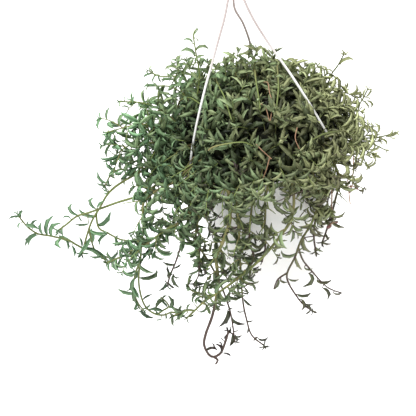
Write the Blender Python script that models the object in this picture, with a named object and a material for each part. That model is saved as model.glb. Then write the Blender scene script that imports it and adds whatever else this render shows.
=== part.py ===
"""A potted string of dolphins, a trailing succulent with dolphin-shaped leaves, in a white hanging pot.

Metres, +Z up. The origin is the point inside the hook that bears on whatever holds it, and everything
hangs below. -Y is the front. Heights above the rim are measured from the top of the pot's flange.
"""

import math
import random

import bmesh
import bpy
from mathutils import Matrix, Vector
from mathutils.bvhtree import BVHTree

MM = 0.001
GAP = 0.35 * MM
SEED = 8

# Driving dimensions
HOOK_TO_RIM = 250 * MM
POT_HEIGHT = 172 * MM
FLANGE_RADIUS = 106 * MM
WALL_TOP_RADIUS = 95 * MM
BASE_RADIUS = 82 * MM
POT_WALL = 2 * MM
FLANGE_THICKNESS = 2.4 * MM
LIP_DEPTH = 8 * MM
FOOT_INNER_RADIUS = 62 * MM
FOOT_HEIGHT = 1.5 * MM
EDGE = 1 * MM
FLOOR_THICKNESS = 4 * MM
ROUND_SIDES = 30

CLIP_RADIUS = 100 * MM
CLIP_HOLE_RADIUS = 2.4 * MM
STRAND_RADIUS = 1.6 * MM
STRAND_SIDES = 6
BARB_RADIUS = 3.0 * MM
BARB_TIP_RADIUS = 1.4 * MM
BARB_SIDES = 10
BARB_LENGTH = 5 * MM
HOOK_INNER_RADIUS = 8 * MM
HOOK_WIRE_RADIUS = 2.4 * MM
HOOK_TIP_DROP = 6 * MM
JUNCTION_BELOW_HOOK = 35 * MM
KNOB_RADIUS = 6.5 * MM
KNOB_TOP_RADIUS = 4.5 * MM
KNOB_LENGTH = 9 * MM
KNOB_SIDES = 14

SOIL_BELOW_RIM = 14 * MM
ROOT_DEPTH = 10 * MM
ROOT_HOLE_SPARE = 1.7
ROOT_CIRCLE = 86 * MM
CROWN_ROOT_RADIUS = 8 * MM
CROWN_ROOT_DEPTH = 20 * MM
CROWN_ROOT_SIDES = 10
CORE_RADIUS = 74 * MM
CORE_LUMPS = 0.07
CORE_HEIGHT = 80 * MM

STEM_RADIUS = 1.25 * MM
FORK_RADIUS = 1.0 * MM
STALK_RADIUS = 0.7 * MM
BUD_RADIUS = 1.7 * MM
BUD_LENGTH = 5 * MM
BUD_STALK = 7 * MM
STEM_SIDES = 4
STEM_STEP = 10 * MM
ROUTE_TOLERANCE = 0.75 * MM
TIP_SHRINK = 0.65

LEAF_LENGTH = 26 * MM
LEAF_WIDTH = 4.6 * MM
LEAF_DEPTH = 3.4 * MM
LEAF_FIN = 2.6 * MM
LEAF_TURN = math.radians(105)
LEAF_PITCH = 25 * MM
BARE_START = 30 * MM
FORK_BARE_START = 8 * MM
TIP_LEAVES = 2
TIP_LEAF_SIZE = 0.5
CROWN_LEAVES = 116
CROWN_LEAF_SIZE = 1.4
CROWN_LEAF_RISE = 0.55
CROWN_LEAF_LIFT = 0.6
FRINGE_STEMS = 10
FRINGE_REACH = 128 * MM
CROWN_LEAF_SINK = 2.6 * MM
CROWN_BODIES = 2
STEM_LEAF_SINK = 0.9 * MM
GOLDEN_ANGLE = math.pi * (3 - math.sqrt(5))
FRINGE_PITCH = 17 * MM
NODE_CLEARANCE = 0.5 * MM
LEAF_CLEARANCE = 0.15 * MM

NEAR = 3 * LEAF_LENGTH
TRIES = 12

UP = Vector((0, 0, 1))
WALL_SLOPE = (WALL_TOP_RADIUS - BASE_RADIUS) / POT_HEIGHT

# Radius and height above the rim of each hanger strand, hand-drawn from the junction down to the flange
STRANDS = {
    210: [(4, 211), (12, 192), (21, 171), (33, 149), (50, 118), (61, 98), (80, 59), (92, 30), (99, 9)],
    330: [(2, 211), (5, 190), (14, 164), (27, 139), (42, 115), (56, 92), (75, 57), (90, 27), (99, 9)],
    85: [(3, 211), (8, 191), (17, 168), (30, 144), (46, 116), (58, 95), (78, 58), (92, 28), (99, 9)],
}

# Trailing stems. Each grows from the soil's edge at its angle, crosses the rim and runs through its points,
# which are x, y and height above the rim in millimetres. A fork starts at a point of its stem.
TRAILS = {
    "trail_left_long": {
        "angle": 196,
        "route": [
            (-124, -35, 12), (-166, -45, 0), (-188, -50, -9), (-208, -52, -29), (-224, -54, -50),
            (-242, -56, -90),
        ],
        "forks": [
            [
                (-242, -56, -90), (-249, -60, -76), (-268, -64, -52), (-286, -64, -43), (-298, -62, -27),
                (-302, -60, -15),
            ],
            [(-208, -52, -29), (-215, -56, -50), (-210, -62, -59), (-190, -68, -68), (-177, -72, -73)],
            [(-224, -54, -50), (-229, -44, -88), (-223, -40, -106), (-219, -36, -117)],
        ],
    },
    "trail_left_runner": {
        "angle": 204,
        "route": [
            (-112, -50, 6), (-137, -62, -3), (-153, -68, -8), (-200, -78, -14), (-228, -80, -20),
            (-256, -80, -32),
        ],
    },
    "trail_left_loop": {
        "angle": 212,
        "route": [
            (-106, -68, 6), (-130, -84, 0), (-147, -90, -12), (-155, -92, -60), (-168, -90, -96),
            (-182, -88, -130), (-184, -88, -162), (-174, -90, -184), (-157, -92, -189), (-133, -94, -180),
        ],
    },
    "trail_left_low": {
        "angle": 220,
        "route": [
            (-82, -78, 2), (-92, -90, -24), (-116, -104, -44), (-143, -106, -60), (-180, -104, -79),
            (-208, -102, -88),
        ],
    },
    "trail_diagonal": {
        "angle": 290,
        "route": [
            (40, -105, 0), (38, -114, -24), (22, -121, -50), (4, -124, -69), (-31, -126, -102),
            (-59, -124, -121), (-95, -118, -148), (-111, -112, -164), (-124, -108, -178),
        ],
    },
    "trail_bare": {
        "angle": 244,
        "route": [
            (-44, -100, 2), (-46, -112, -30), (-58, -112, -95), (-77, -112, -132), (-88, -112, -168),
            (-97, -110, -195), (-108, -108, -217), (-111, -106, -237), (-106, -105, -254),
            (-95, -104, -258), (-86, -104, -240), (-75, -104, -214),
        ],
        "forks": [[(-106, -105, -254), (-101, -106, -265), (-108, -106, -275)]],
        "bare": 205,
    },
    "trail_front_a": {
        "angle": 236,
        "route": [
            (-62, -92, 2), (-80, -100, -30), (-84, -103, -79), (-74, -102, -128), (-66, -102, -161),
            (-70, -102, -229),
        ],
    },
    "trail_front_b": {
        "angle": 254,
        "route": [
            (-32, -105, 2), (-36, -118, -30), (-42, -117, -80), (-46, -114, -121), (-50, -112, -187),
            (-32, -112, -240),
        ],
    },
    "trail_front_c": {
        "angle": 228,
        "route": [
            (-76, -86, 2), (-94, -98, -26), (-112, -106, -70), (-122, -104, -96), (-136, -100, -122),
            (-143, -98, -133),
        ],
    },
    "trail_front_d": {
        "angle": 262,
        "route": [(-16, -107, 2), (-17, -116, -24), (-18, -119, -51), (-16, -120, -78)],
    },
    "trail_front_e": {
        "angle": 272,
        "route": [(4, -107, 2), (7, -116, -24), (6, -119, -50), (0, -119, -80), (-8, -118, -112)],
    },
    "trail_right_a": {
        "angle": 300,
        "route": [
            (55, -96, 0), (58, -104, -36), (50, -108, -62), (30, -110, -80), (10, -112, -120),
            (19, -108, -166), (35, -104, -201),
        ],
        "forks": [
            [(10, -112, -120), (-2, -113, -130), (-9, -114, -145)],
            [(30, -110, -80), (36, -106, -118), (46, -102, -145), (70, -98, -180)],
        ],
    },
    "trail_right_b": {
        "angle": 308,
        "route": [(68, -88, 0), (74, -97, -36), (70, -104, -60), (64, -108, -96)],
    },
    "trail_right_c": {
        "angle": 318,
        "route": [(84, -78, 0), (94, -86, -24), (98, -88, -56), (94, -88, -84)],
    },
}

# Stems that rise through the mound's edge and reach out, with the same kind of points
SPRAYS = {
    "spray_left_a": (165, [(-86, 23, 40), (-92, 22, 72), (-108, 18, 96), (-122, 14, 108)]),
    "spray_left_b": (173, [(-88, 10, 36), (-95, 8, 66), (-110, 5, 86), (-128, 2, 98)]),
    "spray_upright": (177, [(-82, -3, 20), (-76, -4, 50), (-66, -4, 80), (-59, -5, 112), (-53, -5, 157)]),
    "spray_left_c": (181, [(-90, -2, 30), (-104, -6, 60), (-126, -12, 82), (-154, -18, 93)]),
    "spray_left_d": (186.5, [(-93, -11, 20), (-108, -16, 44), (-134, -24, 62), (-177, -30, 62)]),
    "spray_left_e": (191.5, [(-97, -20, 14), (-116, -25, 32), (-150, -33, 42), (-183, -36, 26)]),
    "spray_right_a": (20, [(85, 31, 30), (92, 31, 56), (102, 30, 72), (113, 28, 86)]),
    "spray_right_b": (10, [(92, 17, 10), (104, 20, 26), (122, 22, 36), (144, 24, 40)]),
    "spray_right_c": (0, [(97, 0, 9), (116, 0, 8), (142, 0, -6), (171, 0, -20)]),
    "spray_right_d": (351, [(98, -15, 8), (116, -18, 4), (136, -20, -14), (154, -20, -26)]),
    "spray_right_e": (342, [(96, -31, 8), (110, -37, 2), (122, -40, -16), (130, -41, -34)]),
}

# Thin stalks at the right: the flower stalks carry buds, and the dry one is bare
STALKS = {
    "bud_stalk_low": (312.5, [(73, -79, 8), (82, -88, -12), (84, -95, -34), (84, -100, -78)], 3),
    "bud_stalk_high": (346.5, [(98, -23, 9), (108, -26, -8), (111, -27, -40), (111, -27, -74)], 3),
    "dry_stalk": (335, [(94, -44, 9), (104, -48, -10), (107, -49, -50), (110, -49, -92)], 0),
}

# Stems over the back of the rim, made by a rule
BACK_ANGLES = [34, 50, 66, 99, 114, 130, 148]
BACK_REACH = 22 * MM
BACK_DROPS = [80, 120, 95, 150, 105, 135, 90]

MATERIALS = {
    "pot_white": ((0.86, 0.86, 0.85), 0.38),
    "soil_dark": ((0.05, 0.035, 0.025), 0.95),
    "hanger_white": ((0.90, 0.89, 0.88), 0.35),
    "leaf_green": ((0.10, 0.20, 0.06), 0.5),
    "stalk_brown": ((0.33, 0.16, 0.09), 0.6),
}


def material(name):
    made = bpy.data.materials.get(name)
    if made is None:
        colour, roughness = MATERIALS[name]
        made = bpy.data.materials.new(name)
        made.use_nodes = True
        shader = made.node_tree.nodes["Principled BSDF"]
        shader.inputs["Base Color"].default_value = (*colour, 1)
        shader.inputs["Roughness"].default_value = roughness
        shader.inputs["Metallic"].default_value = 0
    return made


def from_rim(x, y, height):
    """A point given in millimetres from the centre of the rim's top."""
    return Vector((x * MM, y * MM, height * MM - HOOK_TO_RIM))


def around(degrees, radius, height):
    """A point at an angle about the pot's axis. Radius in metres, height above the rim in metres."""
    turn = math.radians(degrees)
    return Vector((radius * math.cos(turn), radius * math.sin(turn), height - HOOK_TO_RIM))


def shell(verts, faces):
    """A bmesh of the given vertices and faces."""
    bm = bmesh.new()
    corners = [bm.verts.new(vert) for vert in verts]
    for face in faces:
        bm.faces.new([corners[corner] for corner in face])
    return bm


def mesh_of(bm, name):
    bmesh.ops.recalc_face_normals(bm, faces=bm.faces)
    mesh = bpy.data.meshes.new(name)
    bm.to_mesh(mesh)
    bm.free()
    return mesh


def add_object(name, mesh, finish, smooth=True):
    obj = bpy.data.objects.new(name, mesh)
    bpy.context.scene.collection.objects.link(obj)
    mesh.materials.clear()
    mesh.materials.append(material(finish))
    if smooth:
        mesh.shade_smooth()
        mesh.set_sharp_from_angle(angle=math.radians(40))
    return obj


def turned(profile, name):
    """A solid turned about the pot's axis. The (radius, height above the rim) points start and end on it."""
    bm = bmesh.new()
    points = [bm.verts.new((radius, 0, height - HOOK_TO_RIM)) for radius, height in profile]
    edges = [bm.edges.new(pair) for pair in zip(points, points[1:])]
    bmesh.ops.spin(
        bm, geom=points + edges, axis=UP, cent=(0, 0, 0), angle=math.tau, steps=ROUND_SIDES, use_merge=True
    )
    bmesh.ops.remove_doubles(bm, verts=bm.verts, dist=0.01 * MM)
    return mesh_of(bm, name)


def add_rod(bm, centre, radius, length, sides, top_radius=None):
    """An upright rod whose top is at centre."""
    bmesh.ops.create_cone(
        bm, cap_ends=True, segments=sides, radius1=radius, radius2=top_radius or radius, depth=length,
        matrix=Matrix.Translation(centre - UP * length / 2),
    )


def tree_of(obj):
    verts = [vert.co for vert in obj.data.vertices]
    return BVHTree.FromPolygons(verts, [tuple(face.vertices) for face in obj.data.polygons])


def evaluated_mesh(obj):
    graph = bpy.context.evaluated_depsgraph_get()
    return bpy.data.meshes.new_from_object(obj.evaluated_get(graph))


def apply_boolean(obj, operation, pieces, solver="EXACT"):
    """Joins the pieces to the object or cuts them from it, in one Boolean on their collection."""
    group = bpy.data.collections.new(obj.name + "_pieces")
    bpy.context.scene.collection.children.link(group)
    for piece in pieces:
        group.objects.link(piece)
    modifier = obj.modifiers.new(operation.title(), "BOOLEAN")
    modifier.operation = operation
    modifier.operand_type = "COLLECTION"
    modifier.collection = group
    modifier.solver = solver
    result = evaluated_mesh(obj)
    obj.modifiers.remove(modifier)
    obj.data = result
    for piece in pieces:
        bpy.data.objects.remove(piece)
    bpy.data.collections.remove(group)


def drop_scraps(obj):
    """Keeps the body that has the most vertices."""
    bm = bmesh.new()
    bm.from_mesh(obj.data)
    left = set(bm.verts)
    bodies = []
    while left:
        body, edge_of_body = set(), [left.pop()]
        while edge_of_body:
            vert = edge_of_body.pop()
            body.add(vert)
            near = {edge.other_vert(vert) for edge in vert.link_edges} & left
            left -= near
            edge_of_body.extend(near)
        bodies.append(body)
    bodies.sort(key=len)
    for body in bodies[:-1]:
        bmesh.ops.delete(bm, geom=list(body), context="VERTS")
    bm.to_mesh(obj.data)
    bm.free()


def smooth_route(points, step):
    """Points about one step apart on a Catmull-Rom curve through the given ones."""
    padded = [2 * points[0] - points[1], *points, 2 * points[-1] - points[-2]]
    route = [points[0].copy()]
    for before, start, end, after in zip(padded, padded[1:], padded[2:], padded[3:]):
        pieces = max(1, round((end - start).length / step))
        for piece in range(1, pieces + 1):
            t = piece / pieces
            route.append(
                0.5
                * (
                    2 * start
                    + (end - before) * t
                    + (2 * before - 5 * start + 4 * end - after) * t * t
                    + (3 * start - before - 3 * end + after) * t**3
                )
            )
    return route


def thinned(route, tolerance):
    """The route without the points that lie within the tolerance of a straight run past them."""
    kept = [route[0]]
    first = 0
    for last in range(2, len(route)):
        run = (route[last] - route[first]).normalized()
        offsets = [point - route[first] for point in route[first + 1 : last]]
        if max((offset - run * offset.dot(run)).length for offset in offsets) > tolerance:
            first = last - 1
            kept.append(route[first])
    return kept + [route[-1]]


def stem_route(points):
    return thinned(smooth_route(points, STEM_STEP), ROUTE_TOLERANCE)


def frames_along(route):
    """(point, direction, side) at each point, with the side turning as little as it can."""
    side = None
    frames = []
    for index, point in enumerate(route):
        ahead = route[min(index + 1, len(route) - 1)] - route[max(index - 1, 0)]
        direction = ahead.normalized()
        if side is None:
            side = direction.orthogonal().normalized()
        side = (side - direction * side.dot(direction)).normalized()
        frames.append((point, direction, side))
    return frames


def tube(route, radius, sides, shrink=1.0):
    """(vertices, faces) of a closed tube along the route, its far end shrunk."""
    verts, faces = [], []
    frames = frames_along(route)
    for index, (point, direction, side) in enumerate(frames):
        ring_radius = radius * (1 + (shrink - 1) * index / (len(frames) - 1))
        across = direction.cross(side)
        for corner in range(sides):
            turn = math.tau * corner / sides
            verts.append(point + ring_radius * (math.cos(turn) * side + math.sin(turn) * across))
    for ring in range(len(frames) - 1):
        for corner in range(sides):
            following = (corner + 1) % sides
            low, high = ring * sides, (ring + 1) * sides
            faces.append((low + corner, low + following, high + following, high + corner))
    faces.append(tuple(reversed(range(sides))))
    faces.append(tuple(range(len(verts) - sides, len(verts))))
    return verts, faces


# Sections of a leaf between its root and its tip: how far along, the width and the depth as shares of the
# largest, and whether the fin stands there
LEAF_SECTIONS = [(0.32, 1.0, 1.0, 0), (0.6, 0.84, 0.8, 1)]


def leaf(root, start, bend, size=1.0, swell=0.0, outer_part=False):
    """(vertices, faces) of a three-sided curved leaf with a fin on its outer side, pointed at both ends.

    Swell thickens it all round. The outer part alone starts a fifth of the way along.
    """
    bend = (bend - start * bend.dot(start)).normalized()
    side = start.cross(bend)
    arc_radius = LEAF_LENGTH * size / LEAF_TURN

    def on_arc(share):
        turn = LEAF_TURN * share
        point = root + arc_radius * (math.sin(turn) * start + (1 - math.cos(turn)) * bend)
        return point, math.cos(turn) * bend - math.sin(turn) * start

    verts = [on_arc(0.2)[0] if outer_part else root - start * swell]
    for share, width, depth, fin in LEAF_SECTIONS:
        point, inward = on_arc(share)
        half = LEAF_WIDTH * size * width / 2 + swell
        rise = LEAF_DEPTH * size * depth * 0.35 + swell
        keel = LEAF_DEPTH * size * depth * 0.65 + LEAF_FIN * size * fin + swell
        top = point + inward * rise
        verts += [top + side * half, top - side * half, point - inward * keel]
    verts.append(on_arc(1 + swell / LEAF_LENGTH)[0])
    faces = []
    for corner in range(3):
        following = (corner + 1) % 3
        faces.append((0, 1 + corner, 1 + following))
        faces.append((1 + corner, 4 + corner, 4 + following))
        faces.append((1 + corner, 4 + following, 1 + following))
        faces.append((4 + corner, 7, 4 + following))
    return verts, faces


class Growth:
    """One foliage node: its stems, the leaves that grow from them, and what its leaves keep clear of."""

    everything = []
    obstacles = []

    def __init__(self, name, finish="leaf_green"):
        self.name = name
        self.finish = finish
        self.bodies = []
        self.body_trees = []
        self.leaves = []
        self.leaf_trees = []
        Growth.everything.append(self)

    def add_body(self, verts, faces):
        self.bodies.append((verts, faces))
        self.body_trees.append(BVHTree.FromPolygons(verts, faces))

    def meets_others(self, tree, centre):
        """Whether a mesh meets the pot, soil, hanger or another foliage node."""
        if any(tree.overlap(obstacle) for obstacle in Growth.obstacles):
            return True
        for growth in Growth.everything:
            if growth is self:
                continue
            near = [other for root, other in growth.leaf_trees if (root - centre).length < NEAR]
            if any(tree.overlap(other) for other in growth.body_trees + near):
                return True
        return False

    def is_clear(self, root, start, bend, size):
        if self.meets_others(BVHTree.FromPolygons(*leaf(root, start, bend, size, NODE_CLEARANCE)), root):
            return False
        outer = BVHTree.FromPolygons(*leaf(root, start, bend, size, LEAF_CLEARANCE, outer_part=True))
        if any(outer.overlap(tree) for tree in self.body_trees):
            return False
        own = BVHTree.FromPolygons(*leaf(root, start, bend, size, LEAF_CLEARANCE))
        near = [tree for other, tree in self.leaf_trees if (other - root).length < NEAR]
        return not any(own.overlap(tree) for tree in near)

    def try_leaf(self, root, start, bend, size=1.0):
        if not self.is_clear(root, start, bend, size):
            return False
        verts, faces = leaf(root, start, bend, size)
        self.leaves.append((verts, faces))
        self.leaf_trees.append((root, BVHTree.FromPolygons(verts, faces)))
        return True

    def build(self):
        pieces = []
        for index, (verts, faces) in enumerate(self.bodies + self.leaves):
            mesh = mesh_of(shell(verts, faces), self.name)
            pieces.append(bpy.data.objects.new(f"{self.name}_{index}", mesh))
        base = pieces[0]
        obj = add_object(self.name, base.data, self.finish, smooth=False)
        bpy.data.objects.remove(base)
        if len(pieces) > 1:
            apply_boolean(obj, "UNION", pieces[1:], "MANIFOLD")
            drop_scraps(obj)
        return obj


def leaf_along(growth, route, draw, begin, pitch=LEAF_PITCH):
    """Leaves in a spiral along a stem from a length begin on, curving upwards, and a tuft at its tip."""
    frames = frames_along(route)
    travelled, due, turn = 0.0, begin, draw.uniform(0, math.tau)
    for (start, direction, side), (end, _, _) in zip(frames, frames[1:]):
        length = (end - start).length
        while due < travelled + length:
            point = start.lerp(end, (due - travelled) / length)
            for attempt in range(4):
                out = side * math.cos(turn) + direction.cross(side) * math.sin(turn)
                heading = (out + 0.35 * direction + 0.15 * UP).normalized()
                lift = UP + 0.45 * direction + 0.3 * Vector([draw.uniform(-1, 1) for _ in range(3)])
                root = point - heading * STEM_LEAF_SINK
                if growth.try_leaf(root, heading, lift, draw.uniform(0.82, 1.06)):
                    break
                turn += math.tau / 5
            turn += GOLDEN_ANGLE
            due += pitch * draw.uniform(0.85, 1.15)
        travelled += length
    point, direction, side = frames[-1]
    for corner in range(TIP_LEAVES):
        turn = math.tau * corner / TIP_LEAVES
        out = side * math.cos(turn) + direction.cross(side) * math.sin(turn)
        heading = (direction + 0.75 * out).normalized()
        growth.try_leaf(point - direction * MM, heading, direction - out, TIP_LEAF_SIZE)


def make_pot():
    """A tapered pot with a flat flange, a small lip under the flange's edge, and a foot ring."""

    def outer(height):
        return BASE_RADIUS + WALL_SLOPE * (height + POT_HEIGHT)

    profile = [
        (0, FOOT_HEIGHT - POT_HEIGHT),
        (FOOT_INNER_RADIUS, FOOT_HEIGHT - POT_HEIGHT),
        (FOOT_INNER_RADIUS + EDGE, -POT_HEIGHT),
        (BASE_RADIUS - 3 * EDGE, -POT_HEIGHT),
        (BASE_RADIUS, 3 * EDGE - POT_HEIGHT),
        (outer(-FLANGE_THICKNESS - EDGE), -FLANGE_THICKNESS - EDGE),
        (outer(-FLANGE_THICKNESS) + EDGE, -FLANGE_THICKNESS),
        (FLANGE_RADIUS - POT_WALL, -FLANGE_THICKNESS),
        (FLANGE_RADIUS - POT_WALL, -LIP_DEPTH),
        (FLANGE_RADIUS, -LIP_DEPTH),
        (FLANGE_RADIUS, -EDGE),
        (FLANGE_RADIUS - EDGE, 0),
        (outer(0) - POT_WALL + 0.6 * EDGE, 0),
        (outer(-EDGE) - POT_WALL, -EDGE),
        (BASE_RADIUS - POT_WALL, FLOOR_THICKNESS - POT_HEIGHT),
        (0, FLOOR_THICKNESS - POT_HEIGHT),
    ]
    pot = add_object("pot", turned(profile, "pot"), "pot_white")
    bm = bmesh.new()
    for angle in STRANDS:
        top = around(angle, CLIP_RADIUS, FLANGE_THICKNESS)
        add_rod(bm, top, CLIP_HOLE_RADIUS, 3 * FLANGE_THICKNESS, 12)
    apply_boolean(pot, "DIFFERENCE", [bpy.data.objects.new("clip_holes", mesh_of(bm, "clip_holes"))])
    return pot


def make_soil():
    """The soil that fills the pot, with a square hole for each stem and a round one for the crown."""
    roots = [(trail["angle"], STEM_RADIUS) for trail in TRAILS.values()]
    roots += [(angle, STEM_RADIUS) for angle, _ in SPRAYS.values()]
    roots += [(angle, STEM_RADIUS) for angle in BACK_ANGLES]
    roots += [(angle, STALK_RADIUS) for angle, _, _ in STALKS.values()]
    bottom = FLOOR_THICKNESS - POT_HEIGHT + GAP
    inner = BASE_RADIUS - POT_WALL - GAP
    top_radius = inner + WALL_SLOPE * (POT_HEIGHT - SOIL_BELOW_RIM)
    profile = [(0, bottom), (inner, bottom), (top_radius, -SOIL_BELOW_RIM), (0, -SOIL_BELOW_RIM)]
    soil = add_object("soil", turned(profile, "soil"), "soil_dark")
    bm = bmesh.new()
    above = 2 * MM
    for angle, radius in roots:
        top = around(angle, ROOT_CIRCLE, above - SOIL_BELOW_RIM)
        add_rod(bm, top, ROOT_HOLE_SPARE * (radius + GAP), ROOT_DEPTH + above + GAP, 4)
    top = around(0, 0, above - SOIL_BELOW_RIM)
    add_rod(bm, top, CROWN_ROOT_RADIUS + 2 * GAP, CROWN_ROOT_DEPTH + above + GAP, 12)
    apply_boolean(soil, "DIFFERENCE", [bpy.data.objects.new("root_holes", mesh_of(bm, "root_holes"))])
    return soil


def make_hanger():
    """One moulding: the hook, the knob under it, three strands and a barb under the flange on each."""
    junction = Vector((0, 0, -JUNCTION_BELOW_HOOK))
    bend_radius = HOOK_INNER_RADIUS + HOOK_WIRE_RADIUS
    centre = Vector((0, 0, -HOOK_INNER_RADIUS))
    hook_route = [junction + UP * -3 * MM, junction + UP * 6 * MM, Vector((6 * MM, 0, -20 * MM))]
    for step in range(11):
        turn = math.radians(-15 + 195 * step / 10)
        hook_route.append(centre + bend_radius * Vector((math.cos(turn), 0, math.sin(turn))))
    hook_route.append(hook_route[-1] - UP * HOOK_TIP_DROP)
    pieces = [tube(hook_route, HOOK_WIRE_RADIUS, STRAND_SIDES)]
    for angle, profile in STRANDS.items():
        points = [around(angle, radius * MM, height * MM) for radius, height in profile]
        for height in (2 * MM, -FLANGE_THICKNESS - 2 * MM):
            points.append(around(angle, CLIP_RADIUS, height))
        pieces.append(tube(stem_route(points), STRAND_RADIUS, STRAND_SIDES))
    objects = [bpy.data.objects.new("strand", mesh_of(shell(*piece), "strand")) for piece in pieces]
    for angle in STRANDS:
        bm = bmesh.new()
        barb_top = around(angle, CLIP_RADIUS, -FLANGE_THICKNESS - GAP)
        add_rod(bm, barb_top, BARB_TIP_RADIUS, BARB_LENGTH, BARB_SIDES, BARB_RADIUS)
        objects.append(bpy.data.objects.new("barb", mesh_of(bm, "barb")))
    bm = bmesh.new()
    add_rod(bm, junction + UP * KNOB_LENGTH / 3, KNOB_RADIUS, KNOB_LENGTH, KNOB_SIDES, KNOB_TOP_RADIUS)
    hanger = add_object("hanger", mesh_of(bm, "hanger"), "hanger_white")
    apply_boolean(hanger, "UNION", objects)
    return hanger


def rooted(angle, points, over_rim=True):
    """A stem's points with its root in the soil and, if it crosses the rim at once, the arch over it."""
    start = [around(angle, ROOT_CIRCLE, -SOIL_BELOW_RIM - ROOT_DEPTH)]
    if over_rim:
        start += [around(angle, ROOT_CIRCLE + MM, MM), around(angle, WALL_TOP_RADIUS, 9 * MM)]
        start.append(around(angle, FLANGE_RADIUS - 2 * MM, 10 * MM))
    else:
        start.append(around(angle, ROOT_CIRCLE + MM, 4 * MM))
    return start + [from_rim(*point) for point in points]


def back_points(index, angle, draw):
    """An arch over the back of the rim that then hangs, drifting to one side."""
    drop = BACK_DROPS[index] * MM
    drift = draw.uniform(-7, 7)
    reach = FLANGE_RADIUS + BACK_REACH
    return [
        around(angle, FLANGE_RADIUS + 5 * MM, 8 * MM),
        around(angle + drift * 0.4, reach, -16 * MM),
        around(angle + drift, reach + 4 * MM, -0.5 * drop),
        around(angle + drift * 1.4, reach - 4 * MM, -drop),
    ]


def make_stems(draw):
    """Makes every stem outside the crown. Returns (growth, route, length of its bare start) for each."""
    stems = []
    for name, trail in TRAILS.items():
        growth = Growth(name)
        route = stem_route(rooted(trail["angle"], trail["route"]))
        growth.add_body(*tube(route, STEM_RADIUS, STEM_SIDES, TIP_SHRINK))
        stems.append((growth, route, trail["bare"] * MM if "bare" in trail else BARE_START))
        for fork in trail.get("forks", []):
            route = stem_route([from_rim(*point) for point in fork])
            growth.add_body(*tube(route, FORK_RADIUS, STEM_SIDES, TIP_SHRINK))
            stems.append((growth, route, FORK_BARE_START))
    for name, (angle, points) in SPRAYS.items():
        growth = Growth(name)
        route = stem_route(rooted(angle, points, over_rim=False))
        growth.add_body(*tube(route, STEM_RADIUS, STEM_SIDES, TIP_SHRINK))
        stems.append((growth, route, BARE_START))
    for index, angle in enumerate(BACK_ANGLES):
        growth = Growth(f"trail_back_{index + 1}")
        route = stem_route(rooted(angle, []) + back_points(index, angle, draw))
        growth.add_body(*tube(route, STEM_RADIUS, STEM_SIDES, TIP_SHRINK))
        stems.append((growth, route, BARE_START))
    return stems


def make_stalks(draw):
    """Bare stalks, some with a few flower buds on short stalks of their own at the tip."""
    for name, (angle, points, buds) in STALKS.items():
        growth = Growth(name, "stalk_brown")
        route = stem_route(rooted(angle, points))
        growth.add_body(*tube(route, STALK_RADIUS, STEM_SIDES))
        tip = route[-1]
        for bud in range(buds):
            side = Vector((draw.uniform(-1, 1), draw.uniform(-1, 1), -0.6)).normalized()
            end = tip + side * BUD_STALK
            growth.add_body(*tube([tip, end], STALK_RADIUS, STEM_SIDES))
            bud_ends = [end - side * MM, end + side * (BUD_LENGTH - MM)]
            growth.add_body(*tube(bud_ends, BUD_RADIUS, STEM_SIDES, 0.7))


def crown_core(draw):
    """A lumpy low-faceted dome that sits on the soil."""
    bm = bmesh.new()
    bmesh.ops.create_icosphere(bm, subdivisions=2, radius=1)
    everything = bm.verts[:] + bm.edges[:] + bm.faces[:]
    bmesh.ops.bisect_plane(bm, geom=everything, plane_co=(0, 0, 0), plane_no=UP, clear_inner=True)
    bmesh.ops.holes_fill(bm, edges=[edge for edge in bm.edges if edge.is_boundary])
    for vert in bm.verts:
        if vert.co.z > 0.01:
            vert.co *= 1 + draw.uniform(-CORE_LUMPS, CORE_LUMPS)
    bmesh.ops.scale(bm, vec=(CORE_RADIUS, CORE_RADIUS, CORE_HEIGHT), verts=bm.verts)
    bmesh.ops.translate(bm, vec=around(0, 0, GAP - SOIL_BELOW_RIM), verts=bm.verts)
    verts = [vert.co.copy() for vert in bm.verts]
    faces = [tuple(vert.index for vert in face.verts) for face in bm.faces]
    bm.free()
    return verts, faces


def make_crown(growth, draw):
    """Leaves spread evenly over the dome, each lying its own way and curving up."""
    centre = around(0, 0, GAP - SOIL_BELOW_RIM)
    for index in range(CROWN_LEAVES):
        rise = 1 - 0.97 * (index + 0.5) / CROWN_LEAVES
        turn = index * GOLDEN_ANGLE
        flat = math.sqrt(1 - rise * rise)
        ball = Vector((flat * math.cos(turn), flat * math.sin(turn), rise))
        surface = centre + Vector((ball.x * CORE_RADIUS, ball.y * CORE_RADIUS, ball.z * CORE_HEIGHT))
        normal = Vector((ball.x / CORE_RADIUS, ball.y / CORE_RADIUS, ball.z / CORE_HEIGHT)).normalized()
        root, _, _, _ = growth.body_trees[0].ray_cast(surface + normal * LEAF_LENGTH, -normal)
        for attempt in range(TRIES):
            lean = Vector([draw.uniform(-1, 1) for _ in range(3)])
            lean = (lean - normal * lean.dot(normal)).normalized()
            start = (CROWN_LEAF_RISE * normal + lean).normalized()
            bend = CROWN_LEAF_LIFT * normal + draw.choice([-1, 1]) * normal.cross(lean)
            size = CROWN_LEAF_SIZE * draw.uniform(0.85, 1.1)
            if growth.try_leaf(root - normal * CROWN_LEAF_SINK, start, bend, size):
                break


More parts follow.
